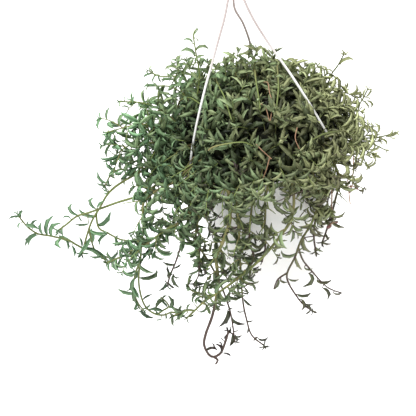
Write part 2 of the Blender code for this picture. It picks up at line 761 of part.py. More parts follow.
def make_fringe(growth, draw):
    """Short stems from the crown out over the rim, where nothing else passes. Returns their routes."""
    routes = []
    for index in range(FRINGE_STEMS):
        for attempt in range(TRIES):
            angle = 360 * index / FRINGE_STEMS + draw.uniform(-9, 9)
            lift = draw.uniform(0, 14) * MM
            droop = draw.uniform(0, 26) * MM
            points = [
                around(angle, 0.75 * CORE_RADIUS, 14 * MM),
                around(angle, 90 * MM, 22 * MM + lift),
                around(angle + 3, FLANGE_RADIUS + 4 * MM, 18 * MM + lift),
                around(angle + 6, FRINGE_REACH, 2 * MM + lift - droop),
            ]
            route = stem_route(points)
            wide = BVHTree.FromPolygons(*tube(route, STEM_RADIUS + NODE_CLEARANCE, STEM_SIDES))
            fringe = growth.body_trees[CROWN_BODIES:]
            if not growth.meets_others(wide, route[-1]) and not any(wide.overlap(tree) for tree in fringe):
                growth.add_body(*tube(route, STEM_RADIUS, STEM_SIDES, TIP_SHRINK))
                routes.append(route)
                break
    return routes


def clear_scene():
    for obj in list(bpy.data.objects):
        bpy.data.objects.remove(obj)


def main():
    clear_scene()
    draw = random.Random(SEED)
    hanger = make_hanger()
    pot = make_pot()
    Growth.obstacles.extend([tree_of(hanger), tree_of(pot)])
    crown = Growth("crown")
    crown.add_body(*crown_core(draw))
    root = [around(0, 0, -SOIL_BELOW_RIM - CROWN_ROOT_DEPTH), around(0, 0, 5 * MM)]
    crown.add_body(*tube(root, CROWN_ROOT_RADIUS, CROWN_ROOT_SIDES))
    stems = make_stems(draw)
    make_stalks(draw)
    Growth.obstacles.append(tree_of(make_soil()))
    for growth, route, bare in stems:
        leaf_along(growth, route, draw, bare)
    for route in make_fringe(crown, draw):
        leaf_along(crown, route, draw, BARE_START, FRINGE_PITCH)
    make_crown(crown, draw)
    for growth in Growth.everything:
        growth.build()


main()
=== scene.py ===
"""A potted string of dolphins in a white hanging pot: the finished look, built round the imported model.

Metres, +Z up, in the model's own frame: the origin is inside the hook and everything hangs below it.
Routes of stems are in millimetres from the centre of the pot's rim, with heights above the rim.
"""

import math
import random

import bmesh
import bpy
import numpy as np
from mathutils import Matrix, Vector, kdtree, noise


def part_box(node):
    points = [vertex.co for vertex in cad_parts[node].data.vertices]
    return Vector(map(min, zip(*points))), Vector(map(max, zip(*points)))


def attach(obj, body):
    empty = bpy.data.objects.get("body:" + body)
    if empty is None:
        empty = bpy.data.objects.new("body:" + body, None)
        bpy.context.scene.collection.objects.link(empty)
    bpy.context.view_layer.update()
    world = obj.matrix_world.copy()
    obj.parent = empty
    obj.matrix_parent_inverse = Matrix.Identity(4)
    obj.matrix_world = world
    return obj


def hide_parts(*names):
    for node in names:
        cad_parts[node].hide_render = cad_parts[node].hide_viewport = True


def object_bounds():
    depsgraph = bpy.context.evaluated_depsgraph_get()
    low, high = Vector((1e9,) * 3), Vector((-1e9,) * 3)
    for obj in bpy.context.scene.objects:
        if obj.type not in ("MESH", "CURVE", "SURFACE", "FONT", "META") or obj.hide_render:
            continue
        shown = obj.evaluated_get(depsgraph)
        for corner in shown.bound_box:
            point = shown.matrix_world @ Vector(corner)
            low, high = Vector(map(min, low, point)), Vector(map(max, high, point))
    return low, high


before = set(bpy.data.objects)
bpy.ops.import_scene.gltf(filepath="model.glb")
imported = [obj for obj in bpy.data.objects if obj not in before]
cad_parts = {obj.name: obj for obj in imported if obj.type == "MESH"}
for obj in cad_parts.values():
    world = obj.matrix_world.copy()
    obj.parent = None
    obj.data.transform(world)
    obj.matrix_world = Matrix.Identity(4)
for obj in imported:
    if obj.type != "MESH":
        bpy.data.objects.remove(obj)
CAD_LOW, CAD_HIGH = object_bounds()

MM = 0.001
UP = Vector((0, 0, 1))
GOLDEN_ANGLE = math.pi * (3 - math.sqrt(5))

# The frame gives the pot's size and the rim's height
POT_LOW, POT_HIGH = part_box("pot")
RIM = POT_HIGH.z
POT_HEIGHT = RIM - POT_LOW.z
FLANGE_RADIUS = POT_HIGH.x
WALL_TOP_RADIUS = 95 * MM
BASE_RADIUS = 82 * MM
SOIL_BELOW_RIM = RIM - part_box("soil")[1].z
ROOT_CIRCLE = 86 * MM

# The photograph: 416 pixels square, seen from 32 degrees above, with the camera rolled a little
PICTURE = 416
FOCAL_PIXELS = 806
RIM_CENTRE_PIXEL = (259.5, 140.7)
VIEW_ELEVATION = math.radians(32)
VIEW_ROLL = math.radians(-8.5)
VIEW_DISTANCE = 1.0

LEAF_LENGTH = 27 * MM
LEAF_WIDTH = 6.0 * MM
LEAF_DEPTH = 6.4 * MM
LEAF_FIN = 1.1 * MM
LEAF_TURNS = [22, 50, 80, 112, 140]
FLATTER = (0, 0, 1, 2)
CURLIER = (1, 2, 2, 3)
STEM_RADIUS = 1.4 * MM
FORK_RADIUS = 1.1 * MM
SHOOT_RADIUS = 0.8 * MM
STALK_RADIUS = 0.7 * MM

STRANDS = {
    210: [(4, 211), (12, 192), (21, 171), (33, 149), (50, 118), (61, 98), (80, 59), (92, 30), (99, 9)],
    330: [(2, 211), (5, 190), (14, 164), (27, 139), (42, 115), (56, 92), (75, 57), (90, 27), (99, 9)],
    85: [(3, 211), (8, 191), (17, 168), (30, 144), (46, 116), (58, 95), (78, 58), (92, 28), (99, 9)],
}
# The strand behind the mound has taken a bend: how far its points lie to the right
BENT_STRAND = 85
BEND = [-2, -5.5, -7.5, -2, 1, 1, 0, 0, 0]

# Trailing stems: where each is rooted round the pot, its route, its forks with the leaf spacing on each, how
# thick it is, how far leaves grow on it at random, its side shoots (from, to, spacing, lengths, lift) and leaf size
TRAILS = {
    "trail_left_long": {
        "angle": 196,
        "route": [
            (-124, -35, 12), (-165, -45, 2), (-188, -50, -9), (-205, -52, -29), (-217, -54, -43),
            (-227, -55, -60), (-243, -56, -92),
        ],
        "forks": [
            ([
                (-243, -56, -92), (-240, -56, -84), (-246, -59, -73), (-252, -62, -63), (-271, -64, -51),
                (-285, -64, -45), (-294, -63, -35), (-300, -61, -22), (-302, -60, -14),
            ], 14),
            ([
                (-208, -52, -32), (-211, -52, -37), (-212, -56, -55), (-202, -62, -60), (-188, -68, -68),
                (-175, -72, -70), (-163, -74, -74),
            ], 12),
            ([
                (-221, -54, -50), (-225, -54, -58), (-228, -48, -92), (-223, -44, -106), (-211, -44, -117),
            ], 14),
            ([(-148, -41, 6), (-168, -41, 15), (-181, -44, 12), (-192, -48, -1)], 7),
        ],
        "thick": 1.25,
        "pitch": 7,
        "until": 95,
        "branches": [(18, 90, 6.5, (16, 36), 0.0)],
        "leaf": 1.12,
    },
    "trail_left_runner": {
        "angle": 204,
        "route": [
            (-113, -48, 1), (-138, -57, -9), (-152, -64, -11), (-179, -67, -14), (-199, -73, -15),
            (-214, -78, -15), (-227, -80, -16), (-243, -80, -26), (-255, -80, -33),
        ],
        "thick": 1.25,
        "until": 90,
        "branches": [(14, 60, 7, (16, 34), -0.2)],
        "leaf": 1.12,
    },
    "trail_left_loop": {
        "angle": 212,
        "route": [
            (-106, -68, 4), (-125, -76, 2), (-142, -85, -4), (-148, -90, -22), (-151, -92, -40),
            (-157, -91, -58), (-165, -90, -88), (-172, -89, -111), (-176, -88, -132), (-177, -88, -153),
            (-174, -89, -169), (-165, -90, -180), (-154, -92, -182), (-143, -93, -178), (-133, -94, -182),
        ],
        "forks": [
            ([
                (-164, -90, -86), (-175, -90, -107), (-183, -90, -129), (-184, -90, -146),
                (-182, -90, -160), (-178, -91, -171),
            ], 12),
            ([
                (-163, -92, -180), (-152, -93, -172), (-145, -93, -168), (-147, -93, -158),
                (-152, -93, -150),
            ], 12),
        ],
        "thick": 1.2,
        "pitch": 7,
        "until": 130,
        "branches": [(14, 60, 6, (24, 50), -0.4), (60, 130, 7, (16, 32), -0.3)],
        "leaf": 1.1,
    },
    "trail_left_low": {
        "angle": 222,
        "route": [
            (-83, -82, -2), (-92, -93, -17), (-105, -104, -28), (-121, -105, -35), (-140, -106, -46),
            (-160, -105, -57), (-173, -104, -65), (-187, -103, -69), (-203, -102, -75),
        ],
        "thick": 1.25,
        "pitch": 6,
        "until": 400,
        "branches": [(10, 90, 4.5, (20, 46), -0.4), (90, 185, 6, (14, 30), -0.3)],
        "leaf": 1.05,
    },
    "trail_diagonal": {
        "angle": 286,
        "route": [
            (30, -108, 2), (29, -112, -11), (27, -116, -22), (21, -121, -38), (7, -124, -55),
            (-14, -126, -78), (-37, -126, -98), (-69, -124, -123), (-95, -118, -144), (-111, -112, -163),
            (-124, -108, -178),
        ],
        "forks": [
            ([(-86, -119, -137), (-100, -119, -128), (-108, -119, -122), (-111, -119, -111)], 8),
            ([(-111, -112, -163), (-120, -112, -160), (-130, -112, -163), (-141, -112, -168)], 8),
        ],
        "thick": 1.35,
        "young": 0.45,
        "pitch": 14,
        "until": 60,
        "branches": [(12, 110, 10, (12, 26), -0.3), (180, 270, 9, (12, 26), 0.0)],
        "leaf": 0.95,
    },
    "trail_bare": {
        "angle": 244,
        "route": [
            (-43, -100, 1), (-46, -108, -27), (-51, -112, -42), (-63, -112, -67), (-71, -112, -83),
            (-74, -112, -118), (-81, -110, -147), (-91, -109, -179), (-104, -108, -209),
            (-110, -106, -231), (-107, -106, -250), (-101, -105, -257), (-91, -104, -252),
            (-83, -104, -235), (-75, -104, -214),
        ],
        "forks": [
            ([(-101, -105, -257), (-97, -105, -264), (-101, -105, -271)], 0),
        ],
        "thick": 1.7,
        "young": 1.7,
        "until": 190,
        "branches": [(24, 170, 9, (16, 34), -0.3)],
        "leaf": 0.9,
    },
    "trail_front_a": {
        "angle": 236,
        "route": [
            (-61, -92, 3), (-75, -96, -15), (-81, -100, -24), (-91, -102, -57), (-87, -103, -77),
            (-81, -102, -98), (-74, -102, -129), (-70, -102, -160), (-68, -102, -190), (-70, -102, -238),
        ],
        "forks": [
            ([
                (-86, -101, -38), (-87, -110, -60), (-93, -112, -92), (-97, -112, -108),
                (-105, -112, -119),
            ], 8),
        ],
        "until": 165,
        "branches": [(24, 160, 9, (16, 34), -0.3)],
        "leaf": 0.9,
    },
    "trail_front_b": {
        "angle": 254,
        "route": [
            (-33, -105, 3), (-36, -113, -15), (-38, -118, -40), (-41, -117, -66), (-45, -116, -107),
            (-49, -114, -155), (-49, -112, -187), (-46, -112, -219), (-32, -112, -242),
        ],
        "until": 185,
        "branches": [(24, 175, 10, (14, 30), -0.3)],
        "leaf": 0.9,
    },
    "trail_front_c": {
        "angle": 228,
        "route": [
            (-75, -86, 4), (-87, -96, -13), (-98, -103, -35), (-110, -105, -63), (-121, -103, -88),
            (-131, -100, -108), (-138, -98, -125),
        ],
        "until": 400,
        "branches": [(14, 90, 7, (20, 40), -0.3)],
        "leaf": 0.9,
    },
    "trail_front_d": {
        "angle": 262,
        "route": [
            (-17, -107, 2), (-19, -114, -12), (-24, -118, -33), (-28, -119, -57), (-26, -120, -85),
        ],
        "until": 400,
        "branches": [(24, 120, 11, (14, 28), -0.3)],
        "leaf": 0.9,
    },
    "trail_front_e": {
        "angle": 271,
        "route": [
            (1, -107, 4), (-3, -114, -5), (-5, -118, -20), (-8, -119, -40), (-11, -119, -70),
            (-18, -118, -94),
        ],
        "until": 400,
        "branches": [(24, 130, 13, (12, 26), -0.3)],
        "leaf": 0.9,
    },
    "trail_right_a": {
        "angle": 300,
        "route": [
            (55, -96, 0), (57, -102, -27), (47, -106, -54), (31, -109, -78), (22, -110, -100),
            (10, -112, -122), (10, -111, -140), (18, -109, -166), (25, -107, -183), (35, -104, -199),
        ],
        "forks": [
            ([(10, -112, -122), (-2, -113, -129), (-9, -114, -143)], 0),
            ([
                (27, -110, -86), (30, -108, -106), (36, -105, -123), (53, -103, -157), (63, -100, -171),
                (74, -98, -180),
            ], 0),
        ],
        "until": 90,
        "branches": [(14, 100, 8, (14, 30), -0.3)],
        "leaf": 1.0,
    },
    "trail_right_b": {
        "angle": 308,
        "route": [
            (68, -88, 0), (68, -93, -21), (60, -98, -36), (51, -103, -55), (47, -106, -76),
            (47, -108, -99),
        ],
        "until": 110,
        "branches": [(14, 110, 7, (14, 30), -0.3)],
        "leaf": 0.95,
    },
    "trail_right_c": {
        "angle": 318,
        "route": [
            (82, -78, -1), (85, -83, -18), (79, -86, -38), (71, -88, -63), (63, -88, -87), (57, -88, -103),
        ],
        "forks": [
            ([(85, -83, -14), (74, -76, -32), (62, -76, -46), (60, -80, -60), (56, -84, -73)], 8),
            ([(84, -80, -22), (74, -70, -44), (70, -68, -58), (69, -72, -69)], 8),
        ],
        "until": 400,
        "branches": [(14, 110, 5, (14, 36), -0.3)],
        "leaf": 0.95,
    },
}

# Stems that rise or reach out without crossing the rim first: angle, route and forks
SPRAYS = {
    "spray_left_a": (165, [(-76, 21, 40), (-72, 14, 78), (-83, 14, 96), (-106, 18, 99), (-117, 18, 108)], []),
    "spray_left_b": (173, [(-82, 10, 36), (-80, 6, 70), (-91, 6, 87), (-102, 5, 92), (-120, 3, 96)], []),
    "spray_upright": (177, [(-80, -3, 20), (-70, -3, 60), (-58, -3, 102), (-57, -4, 129), (-56, -5, 154), (-52, -5, 160)], []),
    "spray_left_c": (181, [(-90, -2, 30), (-104, -6, 60), (-126, -12, 82), (-154, -18, 93)], []),
    "spray_left_d": (186.5, [(-93, -11, 20), (-108, -16, 44), (-134, -24, 62), (-177, -30, 62)], []),
    "spray_left_e": (191.5, [(-97, -20, 14), (-116, -25, 32), (-150, -33, 42), (-183, -36, 26)], []),
    "spray_right_a": (20, [(82, 31, 28), (85, 34, 38), (93, 33, 47), (99, 32, 60), (106, 31, 69), (114, 30, 83)], []),
    "spray_right_b": (
        10, [(92, 14, 6), (108, 14, 1), (119, 16, 4), (125, 18, 9), (128, 20, 18), (134, 22, 26), (139, 22, 36)],
        [[(84, 30, 28), (96, 30, 30), (101, 30, 33), (115, 30, 30), (126, 28, 22), (131, 26, 24)]],
    ),
    "spray_right_c": (
        0, [(97, 0, 9), (106, -4, -4), (119, -4, -14), (135, -2, -19), (148, 0, -21), (168, 0, -18)],
        [[(100, -6, -2), (112, -8, -14), (124, -6, -20), (137, -5, -23), (147, -5, -24)]],
    ),
    "spray_right_d": (351, [(98, -15, 8), (116, -18, 2), (133, -20, -14), (150, -20, -28)], []),
    "spray_right_e": (342, [(96, -31, 5), (108, -37, 1), (117, -40, -12), (122, -41, -28)], []),
}

STALKS = {
    "bud_stalk_low": (311, [(69, -79, 2), (74, -88, -23), (72, -95, -43), (71, -100, -64)], 3),
    "bud_stalk_high": (346.5, [(104, -25, 6), (110, -27, -8), (109, -27, -38), (106, -27, -69)], 3),
    "dry_stalk": (334, [(96, -50, 8), (99, -52, -14), (98, -51, -45), (99, -50, -80)], 0),
}

# Bare stems that run over the mound, and how thick each is
RUNNERS = [
    ([(-52, 34, 66), (-48, 38, 80), (-42, 24, 84), (-38, -6, 87), (-33, -30, 86), (-30, -51, 82), (-27, -68, 72)], 1.0),
    ([(8, 26, 74), (7, 14, 89), (6, -7, 90), (6, -33, 89), (6, -55, 76)], 1.1),
    ([(36, 34, 72), (34, 25, 85), (32, -8, 89), (30, -33, 87), (26, -54, 82), (20, -72, 66)], 1.1),
    ([(106, -42, 10), (100, -52, 27), (87, -68, 39), (71, -80, 46), (52, -84, 40)], 1.2),
    ([(-58, -84, 50), (-52, -88, 56), (-36, -92, 60), (-18, -94, 60), (-8, -92, 52)], 0.8),
    ([(-92, 14, 56), (-87, 8, 68), (-74, -5, 77), (-62, -19, 74)], 1.0),
    ([(-5, -104, 12), (-3, -115, 12), (-2, -119, 2), (-1, -120, -16)], 0.9),
]
# Old flower stalks, dried brown, that lie on the mound
DRY_BITS = [
    [(15, -9, 84), (19, -22, 89), (19, -41, 87), (20, -61, 82), (15, -74, 70)],
    [(8, -52, 80), (12, -64, 82), (14, -74, 70)],
    [(-4, -96, 56), (1, -103, 52), (10, -108, 42)],
    [(8, -106, 42), (3, -112, 32), (-2, -110, 20)],
    [(43, -84, 62), (39, -94, 55), (42, -96, 42)],
]
# Places on the mound where its leaves part, with how wide each is
HOLLOWS = [(-5, -113, 10, 11), (-46, -103, 2, 8), (13, -76, 73, 9), (-6, -45, 84, 7), (44, -92, 51, 6), (-23, -98, 53, 5)]
# Where a few shoots stand up from the mound's top: foot, tip
TUFTS = [
    ((-18, 22, 78), (-10, 24, 112)), ((-4, 22, 80), (2, 22, 108)), ((4, 22, 80), (12, 26, 112)),
    ((-44, 14, 74), (-38, 12, 104)), ((-30, 18, 78), (-25, 18, 106)), ((18, 28, 74), (24, 30, 92)),
    ((-68, 4, 70), (-82, 6, 122)), ((-62, 4, 76), (-71, 6, 120)), ((-54, 8, 78), (-56, 10, 112)),
    ((-50, 8, 80), (-46, 10, 112)), ((-76, 6, 66), (-92, 4, 104)), ((65, 30, 50), (83, 38, 70)),
    ((70, 30, 44), (92, 36, 58)), ((56, 34, 56), (68, 38, 74)), ((46, 34, 62), (56, 40, 80)),
]

# Gaps between the leaves in the photograph, where the pot or the background shows: pixel and radius
WINDOWS = [
    (184, 172, 4.5), (186, 177, 3.7), (191, 180, 2.9), (218, 209, 4.5), (224, 212, 4.5), (233, 215, 3.1),
    (233, 223, 3.1), (220, 224, 4.5), (247, 221, 4.5), (252, 211, 3.9), (261, 203, 3.1), (273, 209, 6.5),
    (275, 217, 6.5), (280, 199, 3.9), (204, 221, 3.7), (203, 234, 4.5), (211, 241, 3.7), (219, 245, 3.1),
    (231, 247, 3.7), (227, 254, 3.7), (271, 245, 4.1), (251, 232, 2.6), (208, 256, 4.5), (216, 265, 4.5),
    (217, 272, 3.7), (231, 236, 3.1), (172, 186, 3), (154, 187, 2.7), (184, 206, 4.5), (167, 206, 3.1),
    (155.5, 205.5, 3.7), (171, 212, 2.6), (158, 217, 3.4), (148, 215, 2.7), (185, 222, 3), (169, 227, 3.1),
    (152, 234, 3.7), (173, 241, 4.5), (188, 248, 4.5), (119, 189, 4.1), (316, 177, 3.8), (293, 198, 3.8),
    (305, 206, 3.8), (325.5, 190, 3), (325, 202.5, 3), (349, 139, 2.3), (331, 146, 2.3), (335, 124, 2.5),
    (125, 205, 9), (131, 221, 9), (282, 229, 6), (267, 258, 6), (245, 262, 2.5), (262, 229, 3.3),
    (180, 278, 9), (150, 262, 7), (158, 290, 9), (178, 258, 7), (337, 168, 7), (338, 200, 12),
]

# Leaves that stand out in the photograph: where each leaf's root, middle and tip show in it, in pixels
SEEN_LEAVES = {
    "trail_left_long": [
        (37.4, 235.4, 31.7, 238.2, 29.3, 246.3), (52.8, 236.8, 52.4, 227.7, 61.6, 223.5),
        (43, 234, 40.5, 226.3, 41.9, 221.4), (32.4, 228.4, 33.2, 222.8, 38.4, 219.6),
        (28.6, 226.7, 27.7, 222.8, 29.3, 220.7), (21.2, 222.8, 19.1, 224.9, 19.1, 229.5),
        (18.4, 217.2, 19.8, 215.1, 22.8, 211.9), (18.4, 217.2, 17, 217.2, 14.9, 218.2),
        (54.9, 236.1, 57.7, 233.7, 60.5, 232.3),
        (81.6, 246.6, 80.9, 241, 78.8, 236.5), (84.4, 246.6, 87.9, 244.9, 91.7, 245.2),
        (71.7, 245.2, 73.8, 250.2, 74.5, 257.2), (65.4, 239.6, 68.2, 245.2, 67.2, 250.2),
        (106.5, 235.1, 100.5, 239.6, 100.2, 245.6), (118, 235.4, 116.3, 240.3, 118, 242.4),
        (109.6, 191.9, 106.1, 190.5, 101.9, 188.4), (109.6, 191.9, 106.1, 193.3, 101.9, 194),
        (107.5, 189.1, 103.3, 184.9, 101.6, 180), (63.3, 236.1, 61.9, 229.1, 64, 224.9),
        (115.1, 178.4, 112.2, 177, 109.6, 174.4), (113.9, 175, 112.2, 173.2, 111.4, 171.2),
        (116.8, 175, 119.1, 170.4, 123.1, 170.4), (120.8, 178.4, 126, 172.7, 132.3, 164.6),
    ],
    "trail_left_runner": [
        (78.1, 214.7, 69.6, 209.5, 73.1, 203.2), (96.3, 208.8, 88.9, 203.2, 94.5, 197.5),
        (70.3, 218.6, 66.1, 216.8, 63, 218.9), (78.8, 215.8, 80.5, 219.3, 83, 222.1),
        (88.6, 223.5, 80.9, 224.9, 74.5, 224.2), (97.7, 208.1, 100.5, 203.2, 104.7, 200.3),
    ],
    "trail_left_low": [
        (115.2, 259.3, 113.1, 265.6, 116.6, 270.9), (111.7, 259.3, 108.2, 263.5, 105.1, 265.9),
        (101.2, 255.8, 97, 253.7, 91.7, 250.2), (106.8, 259.3, 104.4, 257.2, 102.6, 255.4),
        (120.8, 261.1, 124.3, 265.3, 126.8, 269.6), (122.2, 257.6, 119.4, 262.5, 118.4, 268.2),
        (130.6, 262.5, 134.1, 265.3, 138.3, 261.8), (146.1, 254.1, 149.6, 258.3, 146.8, 260.1),
        (153.1, 253.4, 155.2, 256.2, 153.8, 258.3), (160.1, 252, 164.3, 254.8, 172.7, 251),
        (119.4, 250.6, 125.7, 251, 132, 249.2),
    ],
    "trail_left_loop": [
        (139.7, 277.3, 148.2, 281.1, 156.2, 269.6), (141.2, 267.4, 142.6, 271, 146.8, 271.7),
        (143.3, 299.7, 148.2, 295.5, 153.1, 294.1), (135.5, 275.9, 134.8, 272.4, 132.4, 268.9),
        (133.4, 284.3, 129.9, 289.2, 126.1, 291), (141.2, 309.5, 139.4, 306.7, 137.6, 303.9),
        (140.4, 306.7, 136.9, 308.8, 135.2, 310.6), (161.5, 315.2, 157.3, 311.6, 154.5, 309.2),
        (162.2, 318.7, 158.7, 319.4, 154.5, 320.1), (165, 313.1, 165.7, 317.3, 165.4, 320.8),
        (169.9, 308.1, 171.3, 301.1, 167.1, 294.8), (167.1, 307.4, 163.6, 303.2, 159.7, 300.1),
        (172, 307.4, 171.7, 303.2, 174.8, 301.5), (134.8, 289.9, 134.1, 296.9, 139, 304.6),
        (141.2, 309.5, 146.1, 315.2, 154.5, 318), (135.5, 277.3, 133.1, 287.1, 134.8, 294.1),
    ],
    "trail_diagonal": [
        (180.4, 315.2, 174.1, 315.9, 168.9, 318.3), (180.4, 313.8, 178.3, 310.2, 176.9, 307.8),
        (181.1, 312.3, 180.8, 308.1, 180.8, 304.6), (187.5, 312.3, 185.3, 309.2, 181.8, 310.9),
        (188.2, 310.2, 188.5, 304.6, 191.3, 302.9), (198.7, 311.6, 203.9, 309.5, 205.3, 304.6),
        (193.8, 303.2, 193.4, 298.3, 196.2, 295.5), (185.3, 314.5, 181.1, 315.9, 176.9, 315.2),
        (191, 289.9, 188.2, 287.1, 185.3, 283.2), (198.7, 293.4, 194.5, 290.6, 191.7, 287.1),
        (199.4, 293.4, 200.8, 288.5, 202.2, 285), (202.2, 299.7, 201.5, 296.9, 198.7, 296.9),
    ],
    "trail_bare": [
        (206.6, 350.3, 213, 348.3, 217.3, 351.2), (213, 348.3, 213.7, 345.4, 211.2, 342.6),
        (219.3, 354.1, 220.1, 347.7, 214.7, 344), (219.9, 346.6, 220.7, 343.7, 217.6, 342.3),
        (222.6, 353.2, 228.5, 354.1, 230.8, 356.9), (223.3, 340.8, 221.6, 339.1, 219.3, 338),
        (224.4, 338.6, 226.7, 335.1, 229.6, 333.4),
    ],
    "trail_front_a": [
        (217.6, 301.2, 222.1, 305.5, 226.7, 304.7), (227.6, 309.9, 225.9, 319, 218.1, 327.1),
        (232.5, 317.3, 238.8, 324.5, 246.3, 323.6), (230.2, 327.6, 229.6, 331.7, 227.3, 334.5),
        (232.5, 331.1, 235.9, 331.1, 239.1, 329.7), (232.2, 333.4, 231.6, 342, 229, 346.9),
        (233.6, 334.5, 238.2, 336.3, 242, 334), (234.8, 336.3, 236.8, 339.7, 235.9, 343.7),
        (234.8, 336.3, 238.8, 339.1, 241.1, 340.3), (228.5, 305.3, 231.3, 308.4, 233.6, 307.6),
        (227.9, 304.1, 230.2, 301.2, 232.8, 301), (219.9, 296.1, 222.1, 298.4, 224.4, 298.9),
    ],
    "trail_front_b": [
        (227.9, 294.4, 234.2, 298.9, 241.7, 296.6), (244.2, 298.9, 248.6, 303.5, 253.1, 306.7),
        (243.1, 311, 240.5, 313.6, 237.1, 309.9), (246, 320.2, 249.4, 322.2, 252.9, 319.6),
        (248, 327.6, 247.7, 331.7, 246.5, 334.2), (256, 336.8, 254.6, 339.4, 251.4, 339.7),
        (258.3, 338, 264.1, 339.4, 267.8, 336.5), (264.1, 346, 261.2, 347.7, 258, 347.2),
        (264.1, 346, 266.9, 346.9, 270.7, 346.3), (264.6, 346, 263.8, 348.3, 262.3, 349.5),
        (244, 287.5, 246.5, 291.5, 247.7, 295.5), (249.1, 282.9, 252.9, 286.3, 254.9, 292.6),
        (237.6, 285.7, 238.8, 290.3, 240.5, 294.4), (252.6, 284, 256, 282.9, 259.2, 280.6),
    ],
    "trail_front_c": [
        (167.8, 284.3, 162.9, 288.5, 158, 291.3), (168.5, 285.7, 170.6, 288.5, 173.4, 288.8),
        (167.1, 285, 165.7, 283.6, 164.3, 281.5), (173.1, 275.2, 175.5, 282.9, 180.1, 288.1),
        (174.1, 273.8, 176.9, 277.6, 180.1, 276.9), (178, 251.3, 179.4, 255.5, 182.2, 258),
        (167.1, 282.9, 165, 286.4, 163.6, 290.6),
    ],
    "trail_right_a": [
        (295.3, 253, 286.7, 258.1, 281.5, 250.1), (295.9, 257.6, 299.9, 266.7, 302.2, 270.2),
        (304.5, 266.7, 309.1, 269.3, 312.8, 268.2), (308.5, 273.6, 310.2, 282.8, 301.6, 286.5),
        (317.1, 279.4, 324.9, 283.4, 331.7, 279.4), (322.3, 288, 327.2, 293.1, 326.9, 300.3),
        (333.2, 292.6, 336.6, 293.7, 342.7, 292.3), (289, 278.8, 294.1, 280.5, 299, 279.1),
        (280.9, 278.8, 283.2, 282.5, 287.8, 282), (278.6, 279.4, 276.6, 285.1, 273.8, 290),
        (297.6, 293.7, 304.5, 296, 310.8, 292), (300.5, 298.9, 303.9, 305.8, 300.5, 310.9),
        (304.5, 302.9, 309.1, 305.5, 313.4, 303.5), (305.6, 304.1, 309.1, 308.6, 312.8, 313.2),
        (298.7, 251.8, 301.6, 248.9, 304.5, 247.8), (298.7, 253, 301.6, 252.4, 304.5, 253.8),
        (274.2, 202.8, 280.6, 209.8, 291.5, 213.6), (284.4, 197.7, 287.6, 201.5, 292.1, 204),
        (285.7, 215.5, 287.6, 221.9, 284.4, 228.3), (293.4, 224.4, 297.2, 229.5, 303.6, 230.5),
    ],
    "trail_right_b": [
        (304.5, 237.5, 305.9, 249.5, 311.9, 252.4), (306.8, 241.2, 310.8, 240.6, 313.1, 238),
        (316, 247.2, 319.4, 250.7, 323.7, 251.8), (314.2, 248.9, 316.2, 251.8, 318.3, 253.8),
        (291.9, 230, 292.7, 238.6, 290.1, 242.6), (278.6, 236.9, 272.3, 234.3, 267.2, 238.6),
        (279.2, 241.5, 283.8, 240.9, 287.5, 240.6), (298.5, 218.7, 304.2, 218.1, 307.4, 210.4),
        (306.1, 221.2, 309.3, 220.6, 311.2, 218.1), (312.5, 225.7, 311.9, 230.8, 313.8, 235.9),
    ],
    "trail_right_c": [
        (317.6, 214.2, 324, 215.5, 329.1, 213.6), (318.9, 218.1, 321.4, 221.9, 326.5, 223.8),
        (317.6, 224.4, 320.8, 227.6, 324.6, 225.7), (321.4, 195.1, 325.3, 193.8, 328.4, 197.7),
        (320.8, 202.8, 325.3, 206.6, 328.4, 205.9), (329.1, 205.9, 330.7, 211, 330.7, 216.1),
        (313.8, 204, 317.6, 209.1, 318.9, 214.2), (306.1, 202.8, 309.9, 204.7, 313.8, 205.3),
    ],
    "spray_upright": [
        (194.1, 56.5, 187.4, 48.8, 180.4, 52.3), (196.2, 50.9, 203.6, 44.6, 208.8, 50.2),
        (192, 43.2, 187.4, 37.9, 183.2, 40.7), (195.2, 38.2, 197.3, 40.3, 197.8, 43.2),
        (196.2, 62.8, 199, 56.5, 205, 56.1), (198, 67.7, 200.8, 63.5, 205.3, 65.6),
        (193.8, 35.4, 195.5, 33, 198.3, 29.8), (190.2, 65.6, 188.8, 62.1, 191.3, 58.9),
        (194.5, 62.1, 193.1, 64.9, 190.9, 68.4),
    ],
    "spray_left_b": [
        (179, 69.1, 174.1, 64.9, 170.3, 60), (180.4, 68.4, 178.7, 62.1, 183.2, 59.3),
        (175.5, 68.4, 169.9, 66, 165.3, 70.5), (183.9, 69.1, 182.2, 64.2, 186, 62.1),
        (155.9, 85.9, 149.6, 84.9, 142.9, 87.3), (156.6, 86.3, 156.6, 88.1, 157.8, 89.8),
        (174.1, 86.6, 169.9, 89.5, 166.4, 90.9), (178.3, 71.9, 173.4, 73.3, 169.9, 74),
    ],
    "spray_left_a": [
        (153.1, 74, 151.3, 70.5, 148.2, 68.4), (152.4, 74, 146.7, 74.4, 143.2, 78.2),
        (149.6, 73.7, 146.7, 71.9, 145.3, 69.8), (155.2, 76.1, 152.7, 80.3, 152, 83.1),
        (159, 74.7, 160.1, 80.3, 162.2, 83.1), (168.5, 78.2, 164.3, 79.3, 162.2, 83.1),
        (171.3, 74, 169.9, 69.1, 167.1, 68.4), (160.1, 76.1, 156.6, 75.4, 153.1, 78.2),
    ],
    "spray_left_c": [
        (123.7, 101.5, 120.3, 101.5, 116.8, 103.8), (124.9, 99.8, 124.7, 97.5, 124.9, 95.5),
        (132.9, 104.9, 132.9, 100.3, 134.6, 95.2), (142.1, 107.8, 139.5, 104.4, 138.6, 100.9),
        (152.4, 106.1, 146.1, 103.2, 144.4, 99.2), (155.8, 106.6, 149.5, 102.1, 149.2, 96),
        (163.9, 103.8, 158.7, 100.6, 153.6, 100.9), (128.9, 108.4, 124.9, 106.4, 121.1, 107.2),
        (127.1, 111.8, 124.9, 114.7, 124.9, 118.7), (127.1, 101.5, 127.1, 100, 128, 98.9),
        (163.9, 100.9, 161, 99.2, 159.3, 97.5),
    ],
    "spray_left_d": [
